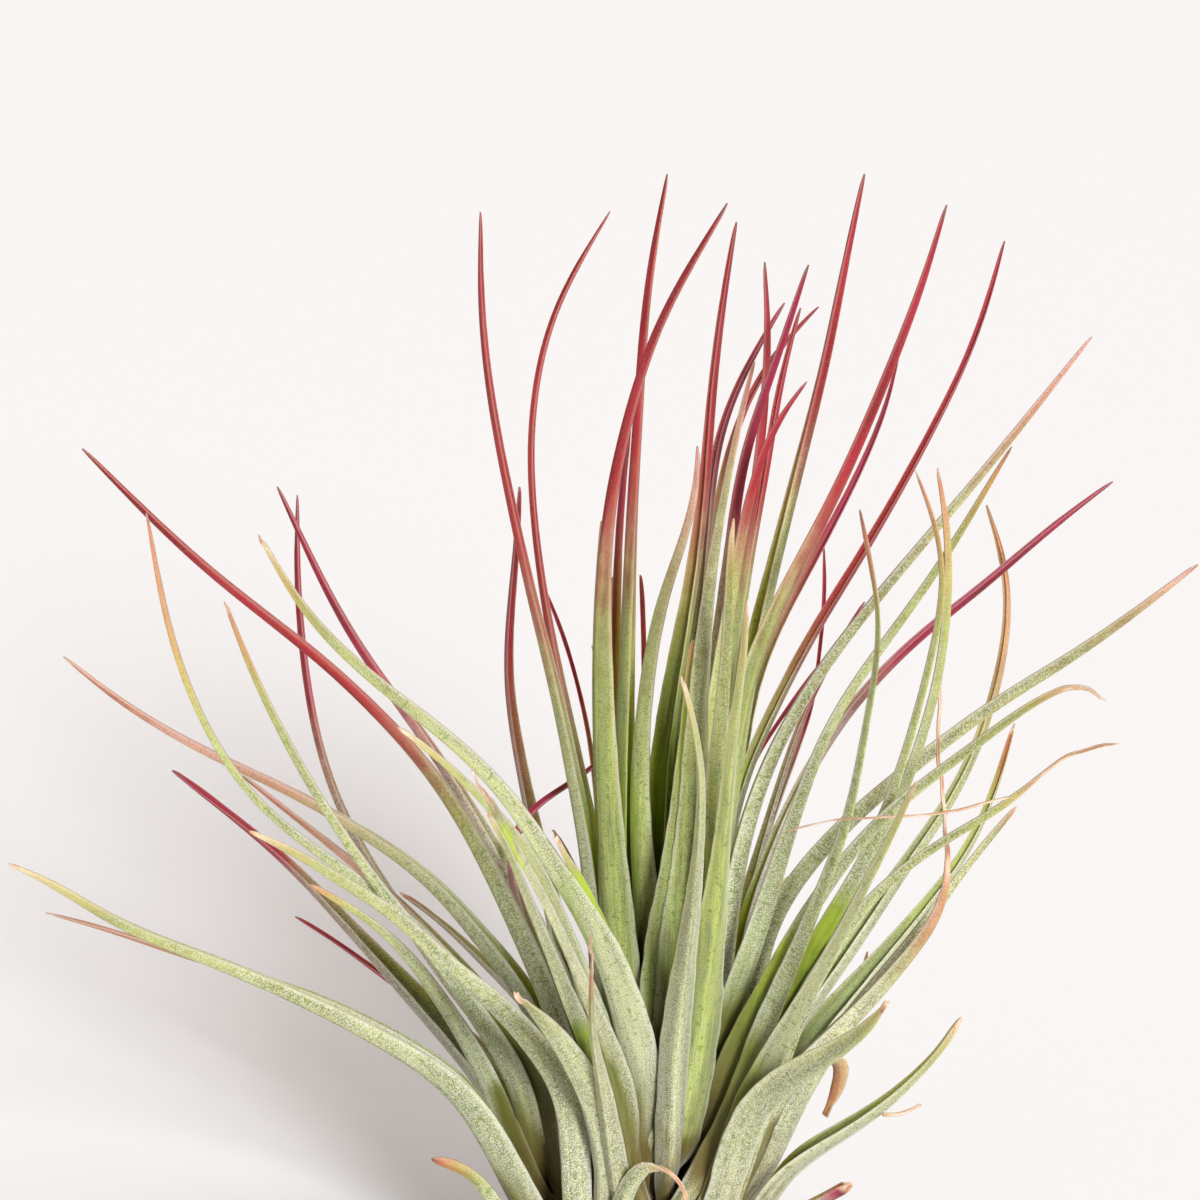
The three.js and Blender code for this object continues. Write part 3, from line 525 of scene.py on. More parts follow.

# How far each leaf has turned: run, fade and dry end, in millimetres, and how vivid it is, partly as painted
# glow.
TURNED = {
    "left_01": (42, 18, 0), "left_02": (14, 16, 0), "left_03": (28, 14, 1), "left_04": (22, 14, 0),
    "left_05": (16, 5, 0), "left_06": (1.2, 5, 0.6), "left_07": (4, 14, 1.5), "left_08": (16, 14, 1.5),
    "left_09": (22, 10, 0), "left_10": (24, 18, 0), "left_11": (26, 16, 0), "left_12": (5, 14, 1.5),
    "left_13": (5, 10, 1.5), "left_14": (4, 9, 0), "left_15": (1, 3, 1), "left_16": (3, 10, 0, 0.3),
    "left_17": (3, 8, 8), "left_18": (2, 6, 1.2), "left_19": (2, 6, 1.2), "left_20": (14, 6, 12),
    "left_21": (1.2, 3, 2.2), "left_23": (12, 14, 0),
    "centre_01": (37, 18, 0), "centre_02": (46, 20, 0), "centre_03": (24, 18, 0), "centre_04": (18, 14, 0),
    "centre_05": (3, 10, 1.2),
    "right_01": (44, 16, 0), "right_02": (10, 16, 0), "right_03": (4, 10, 0), "right_04": (30, 14, 0),
    "right_05": (3, 14, 0), "right_06": (8, 16, 1), "right_07": (6, 14, 1), "right_08": (18, 12, 0),
    "right_09": (8, 12, 0), "right_10": (24, 10, 0), "right_11": (14, 8, 0), "right_12": (12, 8, 0),
    "right_13": (7, 6, 7), "right_14": (2.5, 8, 1.6), "right_15": (14, 5, 14), "right_16": (38, 8, 34),
    "right_17": (4, 8, 1.5), "right_18": (0.8, 3, 0.8), "right_19": (2, 6, 2.4), "right_20": (2, 6, 1.8),
    "right_21": (6, 5, 2.4), "right_24": (3, 4, 7),
    "back_01": (10, 14, 0), "back_02": (26, 14, 0), "back_03": (10, 12, 0), "back_04": (4, 12, 1),
    "back_05": (16, 12, 0), "back_06": (12, 12, 0), "back_07": (26, 16, 0), "back_08": (10, 12, 0),
    "back_09": (2, 5, 2.5),
}

# Leaves whose upper half is wider or narrower than usual.
FULL = {
    "left_02": 0.85, "left_05": 1.35, "left_07": 1.1, "left_08": 0.8,
    "centre_02": 0.82, "centre_03": 1.2,
    "right_01": 1.2, "right_03": 0.85, "right_05": 1.15, "right_06": 0.85, "right_08": 1.15,
    "right_15": 0.8, "right_17": 1.5, "right_20": 0.8,
}


@dataclass(frozen=True)
class PlacedLook:
    """The look of a leaf that shares its solid with others, told by where its tip stands.

    Attributes:
        tip: The tip's place, in millimetres.
        look: Its look.
    """

    tip: tuple[float, float, float]
    look: Look


HEART_LOOKS = (
    PlacedLook((2, 4, 130), Look(Tone.RED, 30, 22)),
    PlacedLook((8, -8, 129), Look(Tone.RED, 33, 20)),
    PlacedLook((-5, 2, 91), Look(Tone.OLIVE, 2, 12)),
    PlacedLook((-2, 13, 100), Look(Tone.CRIMSON, 26, 14)),
    PlacedLook((-4, 22, 80), Look(Tone.CRIMSON, 12, 8)),
    PlacedLook((5, -2, 101), Look(Tone.TAN, 5, 16)),
    PlacedLook((9, 4, 125), Look(Tone.RED, 25, 18)),
    PlacedLook((15, 11, 114), Look(Tone.CRIMSON, 18, 14)),
    PlacedLook((19, 18, 112), Look(Tone.RED, 14, 16)),
    PlacedLook((13, 3, 120), Look(Tone.RED, 26, 12)),
    PlacedLook((17, -5, 122), Look(Tone.CRIMSON, 28, 12)),
    PlacedLook((17, 9, 114), Look(Tone.RED, 20, 12)),
    PlacedLook((17, -11, 110), Look(Tone.RED, 13, 12)),
    PlacedLook((24, 15, 128), Look(Tone.RED, 24, 16)),
    PlacedLook((32, -6, 128), Look(Tone.RED, 30, 24)),
    PlacedLook((28, 27, 105), Look(Tone.CRIMSON, 24, 14)),
    PlacedLook((9, -30, 99), Look(Tone.PALE, 4, 8, 1.5)),
    PlacedLook((10, -38, 92), Look(Tone.PALE, 4, 10, 2)),
    PlacedLook((11, -24, 115), Look(Tone.TAN, 8, 10)),
    PlacedLook((5, -15, 82), Look(Tone.OLIVE, 2, 6)),
)

# The leaves that grow from the foot of the stem: the curled one, the two low ones and the old ones.
FOOT_LOOKS = (
    PlacedLook((4, -21, 17), Look(Tone.PALE, 2, 4, 9)),
    PlacedLook((-24, -14, 23), Look(Tone.OLIVE, 2, 5, 0, full=0.8)),
    PlacedLook((22, -16, 21), Look(Tone.CRIMSON, 2, 5, 1.2, full=0.8)),
    PlacedLook((-35, 5, 0), Look(Tone.DRY, 12, 10, 12)),
    PlacedLook((-21, -27, 0), Look(Tone.DRY, 10, 10, 12)),
    PlacedLook((-13, 32, 0), Look(Tone.DRY, 12, 10, 14)),
    PlacedLook((14, -26, 0), Look(Tone.DRY, 12, 10, 12)),
    PlacedLook((33, -5, 0), Look(Tone.DRY, 12, 10, 13)),
    PlacedLook((19, 24, 0), Look(Tone.DRY, 12, 10, 12)),
)


@dataclass
class Rings:
    """A leaf as its solid gives it: one row for each ring from the root to the point, in metres.

    Attributes:
        centre: Places along the midrib.
        across: Unit directions across the blade.
        outward: Unit directions from the channel to the back of the blade.
        width: Widths.
        depth: Depths of the folded section.
    """

    centre: np.ndarray
    across: np.ndarray
    outward: np.ndarray
    width: np.ndarray
    depth: np.ndarray

    @property
    def tip(self) -> np.ndarray:
        """The leaf's point."""
        return self.centre[-1]


class SolidReader:
    """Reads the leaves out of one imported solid.

    A leaf's solid has rings of six points: edge, flank, back, flank, edge and channel. From its point
    down, each ring is what the ring above is joined to.
    """

    SIDES = 6
    MERGE = 1e-5
    SHARP = 0.8
    FLANK_SIDE = 0.6
    FLANK_DEPTH = 0.7

    def __init__(self, node: bpy.types.Object) -> None:
        """Takes a copy of the solid's mesh with its faces joined.

        Args:
            node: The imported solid.
        """
        self.mesh = bmesh.new()
        self.mesh.from_mesh(node.data)
        bmesh.ops.remove_doubles(self.mesh, verts=self.mesh.verts[:], dist=self.MERGE)
        self.mesh.verts.ensure_lookup_table()

    def leaves(self) -> list[Rings]:
        """Reads every leaf that ends in a point.

        Returns:
            The leaves, in the order of their points in the mesh.
        """
        found = []
        for vertex in self.mesh.verts:
            ring = self._first_ring(vertex)
            if ring:
                found.append(self._walk(vertex, ring))
        self.mesh.free()
        return found

    def _first_ring(self, point: bmesh.types.BMVert) -> list[bmesh.types.BMVert]:
        """The ring under a leaf's point, in order round it.

        Args:
            point: A vertex that may be a leaf's point.

        Returns:
            The six vertices, or none if this isn't a leaf's point.
        """
        around = [edge.other_vert(point) for edge in point.link_edges]
        if len(around) != self.SIDES:
            return []
        steps = [(v.co - point.co).normalized() for v in around]
        down = sum(steps, Vector()).normalized()
        if min(step.dot(down) for step in steps) < self.SHARP:
            return []
        along = -down
        side = along.orthogonal().normalized()
        middle = sum((v.co for v in around), Vector()) / self.SIDES

        def turn(vertex: bmesh.types.BMVert) -> float:
            """Angle of a vertex round the leaf."""
            arm = vertex.co - middle
            return math.atan2(arm.dot(along.cross(side)), arm.dot(side))

        return sorted(around, key=turn)

    def _walk(self, point: bmesh.types.BMVert, ring: list[bmesh.types.BMVert]) -> Rings:
        """Follows the rings from a leaf's point towards its root.

        Args:
            point: The leaf's point.
            ring: The ring under it.

        Returns:
            The leaf.
        """
        rings, seen = [], {point}
        while ring:
            rings.append([np.array(v.co) for v in ring])
            seen.update(ring)
            ring = self._next_ring(ring, seen)
        rings = np.array(rings[::-1])
        rings = rings[:, (np.arange(self.SIDES) + self._first_edge(rings)) % self.SIDES]
        middle = (rings[:, 0] + rings[:, 4]) / 2
        span, back = rings[:, 4] - rings[:, 0], rings[:, 2] - middle
        width, depth = np.linalg.norm(span, axis=1), np.linalg.norm(back, axis=1)
        across, outward = span / width[:, None], back / depth[:, None]
        centre = np.vstack([(middle + rings[:, 2]) / 2, np.array(point.co)])
        last = (across[-1:], outward[-1:])
        return Rings(
            centre, np.vstack([across, last[0]]), np.vstack([outward, last[1]]),
            np.append(width, 0.0), np.append(depth, 0.0),
        )

    def _next_ring(self, ring: list[bmesh.types.BMVert], seen: set) -> list[bmesh.types.BMVert]:
        """The ring below another.

        Args:
            ring: The ring above.
            seen: Every vertex above it.

        Returns:
            Its six vertices in the same order, or none where the leaf has grown into its neighbours.
        """
        joined = [{edge.other_vert(v) for edge in v.link_edges} - seen for v in ring]
        if len(set().union(*joined)) != self.SIDES:
            return []
        below = []
        for i, own in enumerate(joined):
            shared = own & joined[(i - 1) % self.SIDES]
            if len(shared) != 1:
                return []
            below.append(shared.pop())
        return below

    def _first_edge(self, rings: np.ndarray) -> int:
        """Finds which of the six points is the first edge of the blade.

        Args:
            rings: The rings' points.

        Returns:
            The index of that point in each ring.
        """
        misfits = []
        for first in range(self.SIDES):
            p = [rings[:, (first + k) % self.SIDES] for k in range(self.SIDES)]
            middle = (p[0] + p[4]) / 2
            flanks = (p[3] - p[1]) - self.FLANK_SIDE * (p[4] - p[0])
            lift = (p[1] + p[3]) / 2 - middle - self.FLANK_DEPTH * (p[2] - middle)
            misfits.append(np.linalg.norm(flanks) + np.linalg.norm(lift))
        return int(np.argmin(misfits))


def natural_spline(knots: np.ndarray, values: np.ndarray, wanted: np.ndarray) -> np.ndarray:
    """Draws the smooth curve through given points.

    Args:
        knots: Rising distances of the points.
        values: The points, one row each.
        wanted: Distances at which the curve is read.

    Returns:
        The curve's points, one row each.
    """
    count = len(knots)
    step = np.diff(knots)
    slope = np.diff(values, axis=0) / step[:, None]
    matrix, right = np.eye(count), np.zeros_like(values)
    for i in range(1, count - 1):
        matrix[i, i - 1 : i + 2] = step[i - 1], 2 * (step[i - 1] + step[i]), step[i]
        right[i] = 6 * (slope[i] - slope[i - 1])
    bend = np.linalg.solve(matrix, right)
    i = np.clip(np.searchsorted(knots, wanted, side="right") - 1, 0, count - 2)
    h, before, after = step[i][:, None], (wanted - knots[i])[:, None], (knots[i + 1] - wanted)[:, None]
    return (
        (bend[i] * after**3 + bend[i + 1] * before**3) / (6 * h)
        + (values[i] / h - bend[i] * h / 6) * after
        + (values[i + 1] / h - bend[i + 1] * h / 6) * before
    )


def even_curve(knots: np.ndarray, values: np.ndarray, wanted: np.ndarray) -> np.ndarray:
    """Draws a curve through given numbers that never swings past them.

    Args:
        knots: Rising distances of the numbers.
        values: The numbers.
        wanted: Distances at which the curve is read.

    Returns:
        The curve's numbers.
    """
    step = np.diff(knots)
    slope = np.diff(values) / step
    tangent = np.zeros(len(values))
    same = slope[:-1] * slope[1:] > 0
    inner = 2 * slope[:-1] * slope[1:] / np.where(same, slope[:-1] + slope[1:], 1.0)
    tangent[1:-1] = np.where(same, inner, 0.0)
    tangent[0], tangent[-1] = slope[0], slope[-1]
    i = np.clip(np.searchsorted(knots, wanted, side="right") - 1, 0, len(step) - 1)
    t = (wanted - knots[i]) / step[i]
    return (
        values[i] * (1 + 2 * t) * (1 - t) ** 2
        + tangent[i] * step[i] * t * (1 - t) ** 2
        + values[i + 1] * t * t * (3 - 2 * t)
        + tangent[i + 1] * step[i] * t * t * (t - 1)
    )


def unit(rows: np.ndarray) -> np.ndarray:
    """Gives each row the length 1.

    Args:
        rows: Directions, one row each.

    Returns:
        The unit directions.
    """
    return rows / np.linalg.norm(rows, axis=1, keepdims=True)


@dataclass
class Sheet:
    """Mesh data on its way to an object."""

    points: np.ndarray
    faces: np.ndarray
    caps: list[list[int]]
    place: np.ndarray
    state: np.ndarray
    extra: np.ndarray
    tone: Tone


@dataclass
class ShadeOcclusion:
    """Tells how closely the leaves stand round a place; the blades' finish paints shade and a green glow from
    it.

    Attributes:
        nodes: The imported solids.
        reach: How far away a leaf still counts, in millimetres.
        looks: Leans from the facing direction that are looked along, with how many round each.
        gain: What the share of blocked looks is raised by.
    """

    nodes: Iterable[bpy.types.Object]
    reach: float = 11.0
    looks: tuple[tuple[float, int], ...] = ((0.0, 1), (0.6, 5), (1.1, 7))
    gain: float = 1.5

    def __post_init__(self) -> None:
        """Lays all the solids in one search tree, and the directions that are looked along."""
        points, faces = [], []
        for node in self.nodes:
            faces += [[k + len(points) for k in face.vertices] for face in node.data.polygons]
            points += [vertex.co.copy() for vertex in node.data.vertices]
        self.tree = BVHTree.FromPolygons(points, faces)
        self.spread = [
            (math.sin(lean) * math.cos(turn), math.sin(lean) * math.sin(turn), math.cos(lean))
            for lean, count in self.looks
            for turn in np.linspace(0, 2 * math.pi, count, endpoint=False)
        ]

    def around(self, places: np.ndarray, facing: np.ndarray, beside: np.ndarray) -> np.ndarray:
        """Looks out from each place.

        Args:
            places: The places, in metres.
            facing: The direction that each one faces.
            beside: A direction across it.

        Returns:
            How closely other leaves hem each place in, from 0 to 1; it sets the painted shade.
        """
        third = np.cross(facing, beside)
        found = np.zeros(len(places))
        for i, place in enumerate(places):
            for a, b, c in self.spread:
                look = Vector(a * beside[i] + b * third[i] + c * facing[i])
                distance = self.tree.ray_cast(Vector(place), look, self.reach * MM)[3]
                if distance is not None:
                    found[i] += 1 - distance / (self.reach * MM)
        return np.clip(found / len(self.spread) * self.gain, 0, 1)


@dataclass
class Blade:
    """A fine channelled blade drawn along a leaf's rings. Lengths in millimetres.

    Attributes:
        shade_occlusion: Tells how closely the leaves stand, for the painted shade and green glow.
        keel: How much deeper than its solid the section is, as a factor.
        station: Distance between stations along the blade.
        steps: Points from the middle of a face to its edge.
        wall: Thickness in the middle.
        edge: Thickness at the edges.
        fold: How round the back is: 1 is a plain V.
        crease: How round the channel is.
        thin_at: Distances from the tip at which thin_to holds.
        thin_to: Width there, as a share of the solid's.
        own_width: Distances from the tip over which a leaf's own fullness ends.
        long_leaf: A leaf shorter than this thins out sooner.
        long_thread: A dry end longer than this is a mere thread.
        thread: Such a thread's width.
        thread_depth: Its depth, as a share of that.
        blunt_at: Distance from a broken end whose width the end takes.
        keel_rise: Distances from the tip over which the section deepens.
        fuller: How much wider than its solid the lower half is, as a share.
        fuller_rise: Distances from the root over which that starts.
        fuller_fall: Distances from the root over which it ends.
        waver: How much the width varies, as a share.
        crumple: How far a dry end strays from its line.
        point: Longest stretch that has the point's own colour.
        every: Every how many stations the closeness of other leaves is read, for the painted shade.
        clear: How far off a face that closeness is read.
        beside: Where it is read beside the midrib, as a share of half the width.
    """

    shade_occlusion: ShadeOcclusion
    keel: float = 1.7
    station: float = 0.9
    steps: int = 5
    wall: float = 0.5
    edge: float = 0.16
    fold: float = 1.4
    crease: float = 1.3
    thin_at: tuple[float, ...] = (0.0, 1.1, 4.4, 7.0, 10.0, 13.0, 18.0, 30.0, 42.0, 55.0, 75.0)
    thin_to: tuple[float, ...] = (0.18, 0.4, 0.6, 0.67, 0.65, 0.62, 0.6, 0.64, 0.7, 0.82, 1.0)
    own_width: tuple[float, float] = (35.0, 65.0)
    long_leaf: float = 105.0
    long_thread: float = 7.5
    thread: float = 0.45
    thread_depth: float = 0.6
    blunt_at: float = 4.5
    keel_rise: tuple[float, float] = (2.0, 20.0)
    fuller: float = 0.0
    fuller_rise: tuple[float, float] = (3.0, 10.0)
    fuller_fall: tuple[float, float] = (60.0, 98.0)
    waver: float = 0.04
    crumple: float = 0.12
    point: float = 2.5
    every: int = 3
    clear: float = 0.35
    beside: float = 0.75

    def draw(self, rings: Rings, look: Look, seed: int, blunt: bool = False) -> Sheet:
        """Draws the blade.

        Args:
            rings: The leaf's rings.
            look: How far it has turned.
            seed: Sets its small irregularities.
            blunt: Whether the end is broken off.

        Returns:
            The blade's mesh data.
        """
        random = np.random.default_rng(seed)
        chord = np.append(0.0, np.cumsum(np.linalg.norm(np.diff(rings.centre, axis=0), axis=1))) / MM
        length = chord[-1]
        along = np.linspace(0.0, length, max(24, math.ceil(length / self.station)))
        left = length - along
        dry = 1 - smooth(left, look.dry * 0.75, look.dry * 1.2 + 0.01) if look.dry else np.zeros_like(along)
        centre = natural_spline(chord, rings.centre, along)
        centre += self._stray(random, along, left)[:, None] * self.crumple * MM * dry[:, None]
        forward = unit(np.gradient(centre, axis=0))
        across = np.array([np.interp(along, chord, part) for part in rings.across.T]).T
        across = unit(across - forward * (across * forward).sum(1, keepdims=True))
        outward = np.cross(across, forward)
        wide = even_curve(chord, rings.width, along) / MM
        deep = even_curve(chord, rings.depth, along) / MM
        if blunt:
            wide = np.maximum(wide, np.interp(self.blunt_at, left[::-1], wide[::-1]) * 0.8)
            deep = np.maximum(deep, 0.5)
        else:
            shortness = min(1.0, length / self.long_leaf)
            thin = np.interp(left / shortness, self.thin_at, self.thin_to)
            floor = rings.width[-2] / MM
            thin = thin * (1 + (look.full - 1) * (1 - smooth(left, *self.own_width)))
            wide, deep = np.maximum(wide, floor * 0.95) * thin, np.maximum(deep, floor * 0.8) * thin
        wide = wide * (1 + self.waver * self._stray(random, along, left)) * (1 - 0.3 * dry)
        deep = deep * (1 + (self.keel - 1) * smooth(left, *self.keel_rise))
        if look.dry > self.long_thread:
            wide = wide + (np.minimum(wide, self.thread) - wide) * dry
            deep = deep + (np.minimum(deep, self.thread * self.thread_depth) - deep) * dry
        grown = smooth(along, *self.fuller_rise) * (1 - smooth(along, *self.fuller_fall))
        wide = wide * (1 + self.fuller * grown)
        return self._skin(centre, across, outward, wide, deep, along, left, dry, look, seed)

    def _stray(self, random: np.random.Generator, along: np.ndarray, left: np.ndarray) -> np.ndarray:
        """A gentle waver along the blade.

        Args:
            random: The blade's own draws.
            along: Distances from the root.
            left: Distances from the tip.

        Returns:
            The waver, about -1 to 1.
        """
        total = np.zeros_like(along)
        for wave in (17.0, 9.0, 4.3):
            total += np.sin(2 * math.pi * (along / (wave * random.uniform(0.8, 1.25)) + random.uniform())) / 2
        return total * smooth(left, 0.0, 1.5)

    def _skin(
        self, centre: np.ndarray, across: np.ndarray, outward: np.ndarray, wide: np.ndarray, deep: np.ndarray,
        along: np.ndarray, left: np.ndarray, dry: np.ndarray, look: Look, seed: int,
    ) -> Sheet:
        """Lays both faces of the blade.

        Args:
            centre: Places along the midrib, in metres.
            across: Directions across the blade.
            outward: Directions from the channel to the back.
            wide: Widths.
            deep: Depths of the section.
            along: Distances from the root.
            left: Distances from the tip.
            dry: How dry each station is.
            look: How far the leaf has turned.
            seed: The blade's number.

        Returns:
            The blade's mesh data.
        """
        side = np.sin(np.linspace(-1, 1, 2 * self.steps + 1) * math.pi / 2)
        back = [(s, 1.0) for s in side]
        front = [(s * 0.985, 0.0) for s in side[::-1]]
        section = np.array(back + front)
        s, is_back = section[:, 0][None, :], section[:, 1][None, :]
        wall = np.maximum(0.45 * deep, np.minimum(self.wall, 0.85 * deep))[:, None]
        edge = np.minimum(self.edge, 0.5 * deep)[:, None]
        rise = deep[:, None] * (1 - np.abs(s) ** self.fold)
        thick = edge + (wall - edge) * (1 - np.abs(s) ** self.crease)
        lift = rise - (1 - is_back) * thick - deep[:, None] / 2
        spread = s * wide[:, None] / 2
        points = (
            centre[:, None, :]
            + across[:, None, :] * (spread * MM)[..., None]
            + outward[:, None, :] * (lift * MM)[..., None]
        )
        rows, turn = lift.shape
        start = np.arange((rows - 1) * turn).reshape(rows - 1, turn)
        step = np.roll(start, -1, axis=1)
        faces = np.stack([start, step, step + turn, start + turn], axis=-1).reshape(-1, 4)
        base, last = list(range(turn))[::-1], list(range((rows - 1) * turn, rows * turn))
        ripe = self._ripeness(left, look)
        full = np.ones((rows, turn))
        place = np.stack([spread, along[:, None] * full, (seed * 7.3 + 3.1 * is_back) * full], axis=-1)
        state = np.stack([ripe[:, None] * full, is_back * full, dry[:, None] * full], axis=-1)
        # The vivid lower half: partly the young leaf's own green, partly painted glow.
        fresh_glow = look.fresh_glow * smooth(along, 2.0, 14.0) * (1 - smooth(along, 45.0, 80.0))
        # How closely other leaves stand before each face; the finish paints shade and a green glow from it.
        behind = self._occlusion_before_face(centre, across, outward, wide, deep, along, s)
        before = self._occlusion_before_face(centre, across, -outward, wide, deep, along, s)
        occluded_share = is_back * behind + (1 - is_back) * before
        extra = np.stack([np.abs(s) * full, fresh_glow[:, None] * full, occluded_share], axis=-1)
        return Sheet(points.reshape(-1, 3), faces, [base, last], place.reshape(-1, 3), state.reshape(-1, 3),
                     extra.reshape(-1, 3), look.tone)

    def _occlusion_before_face(
        self, centre: np.ndarray, across: np.ndarray, facing: np.ndarray, wide: np.ndarray, deep: np.ndarray,
        along: np.ndarray, s: np.ndarray,
    ) -> np.ndarray:
        """How closely other leaves stand before one face, read mid-face and near both edges, for painted
        shade.

        Args:
            centre: Places along the midrib, in metres.
            across: Directions across the blade.
            facing: Directions that the face looks in.
            wide: Widths.
            deep: Depths of the section.
            along: Distances from the root.
            s: Places across the face, from -1 to 1.

        Returns:
            The crowding at each point.
        """
        off = (deep[:, None] / 2 + self.clear) * MM
        reach = np.clip(s / self.beside, -1, 1)
        read = slice(None, None, self.every)
        total = np.zeros((len(along), s.shape[1]))
        for side in (-1, 0, 1):
            places = centre + across * (side * self.beside * wide[:, None] / 2 * MM) + facing * off
            found = self.shade_occlusion.around(places[read], facing[read], across[read])
            share = np.maximum(0, 1 - np.abs(reach - side))
            total += share * np.interp(along, along[read], found)[:, None]
        return total

    def _ripeness(self, left: np.ndarray, look: Look) -> np.ndarray:
        """How ripe each station is, from the root's 0 to the point's 1.

        Args:
            left: Distances from the tip.
            look: How far the leaf has turned.

        Returns:
            The ripeness.
        """
        length = left[0]
        turned = look.run + look.fade
        places = [
            0.0, min(self.point, look.run * 0.4), look.run, look.run + 0.45 * look.fade, turned,
            max(turned + 6, length - 34), max(turned + 9, length - 15), max(turned + 12, length),
        ]
        return np.interp(left, places, [1.0, 0.93, 0.72, 0.6, 0.5, 0.25, 0.1, 0.0])


def rooted(rings: Rings, radius: float, height: float, width: float) -> Rings:
    """Carries a leaf down to its root where its solid grows into its neighbours.

    Args:
        rings: The leaf as read.
        radius: The root's distance from the stem's axis, in millimetres.
        height: The root's height, in millimetres.
        width: The root's width, in millimetres.

    Returns:
        The leaf with its root.
    """
    low = rings.centre[0]
    bearing = low[:2] / np.linalg.norm(low[:2])
    root = np.array([*(bearing * min(radius * MM, np.linalg.norm(low[:2]))), height * MM])
    return Rings(
        np.vstack([root, rings.centre]),
        np.vstack([rings.across[:1], rings.across]),
        np.vstack([rings.outward[:1], rings.outward]),
        np.append(width * MM, rings.width),
        np.append(rings.depth[0] * 0.7, rings.depth),
    )


def piece_from(name: str, sheets: list[Sheet], materials: dict[Tone, bpy.types.Material]) -> bpy.types.Object:
    """Joins mesh data into one object.

    Args:
        name: The object's name.
        sheets: Its mesh data.
        materials: The finish for each tone.

    Returns:
        The object.
    """
    tones = sorted({sheet.tone for sheet in sheets}, key=lambda tone: tone.value)
    points, faces, looks, offset = [], [], [], 0
    for sheet in sheets:
        points.append(sheet.points)
        faces += (sheet.faces + offset).tolist() + [[k + offset for k in cap] for cap in sheet.caps]
        looks += [tones.index(sheet.tone)] * (len(sheet.faces) + len(sheet.caps))
        offset += len(sheet.points)
    mesh = bpy.data.meshes.new(name)
    mesh.from_pydata(np.vstack(points).tolist(), [], faces)
    for tone in tones:
        mesh.materials.append(materials[tone])
    mesh.polygons.foreach_set("material_index", looks)
    mesh.polygons.foreach_set("use_smooth", [True] * len(faces))
    for label, part in (("blade_place", "place"), ("blade_state", "state"), ("blade_extra", "extra")):
        layer = mesh.attributes.new(label, "FLOAT_VECTOR", "POINT")
        layer.data.foreach_set("vector", np.vstack([getattr(sheet, part) for sheet in sheets]).ravel())
    mesh.update()
    piece = bpy.data.objects.new(name, mesh)
    bpy.context.scene.collection.objects.link(piece)
    return piece


@dataclass
class Leaves:
    """The leaves that each have a solid of their own."""

    materials: dict[Tone, bpy.types.Material]
    blade: Blade
    root_reach: float = 1.3

    def build(self, nodes: dict[str, bpy.types.Object], slots: dict[str, str]) -> list[bpy.types.Object]:
        """Draws a fine blade for each leaf.

        Args:
            nodes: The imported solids.
            slots: The material slot of each solid.

        Returns:
            The blades.
        """
        made = []
        for seed, name in enumerate(sorted(n for n in nodes if n.startswith("leaf_")), start=1):
            rings = SolidReader(nodes[name]).leaves()[0]
            inward = max(2.0, np.linalg.norm(rings.centre[0, :2]) / MM - self.root_reach)
            rings = rooted(rings, inward, rings.centre[0, 2] / MM - 0.6, rings.width[0] / MM)
            short = name.removeprefix("leaf_")
            look = replace(Look(Tone(slots[name]), *TURNED[short]), full=FULL.get(short, 1.0))
            sheet = self.blade.draw(rings, look, seed, short in BLUNT)
            piece = piece_from("fine_" + name, [sheet], self.materials)
            made.append(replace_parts(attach(piece, BODY), name))
            log.info("%s: %d faces", piece.name, len(piece.data.polygons))
        return made


@dataclass
class Heart:
    """The dense heart's leaves, drawn from the solid that they share."""

    materials: dict[Tone, bpy.types.Material]
    blade: Blade
    root_radius: float = 2.6
    root_height: float = 14.6
    root_width: float = 2.6
    # How vivid its leaves' lower halves are: partly their own green, partly painted glow.
    fresh_glow_share: float = 0.85

    def build(self, node: bpy.types.Object) -> bpy.types.Object:
        """Draws the heart.

        Args:
            node: The heart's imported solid.

        Returns:
            The heart.
        """
        sheets = []
        for seed, rings in enumerate(SolidReader(node).leaves(), start=101):
            grown = rooted(rings, self.root_radius, self.root_height, self.root_width)
            look = replace(look_at(rings.tip, HEART_LOOKS), fresh_glow=self.fresh_glow_share)
            sheets.append(self.blade.draw(grown, look, seed))
        piece = piece_from("fine_heart_leaves", sheets, self.materials)
        log.info("%s: %d leaves, %d faces", piece.name, len(sheets), len(piece.data.polygons))
        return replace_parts(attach(piece, BODY), "heart_leaves")


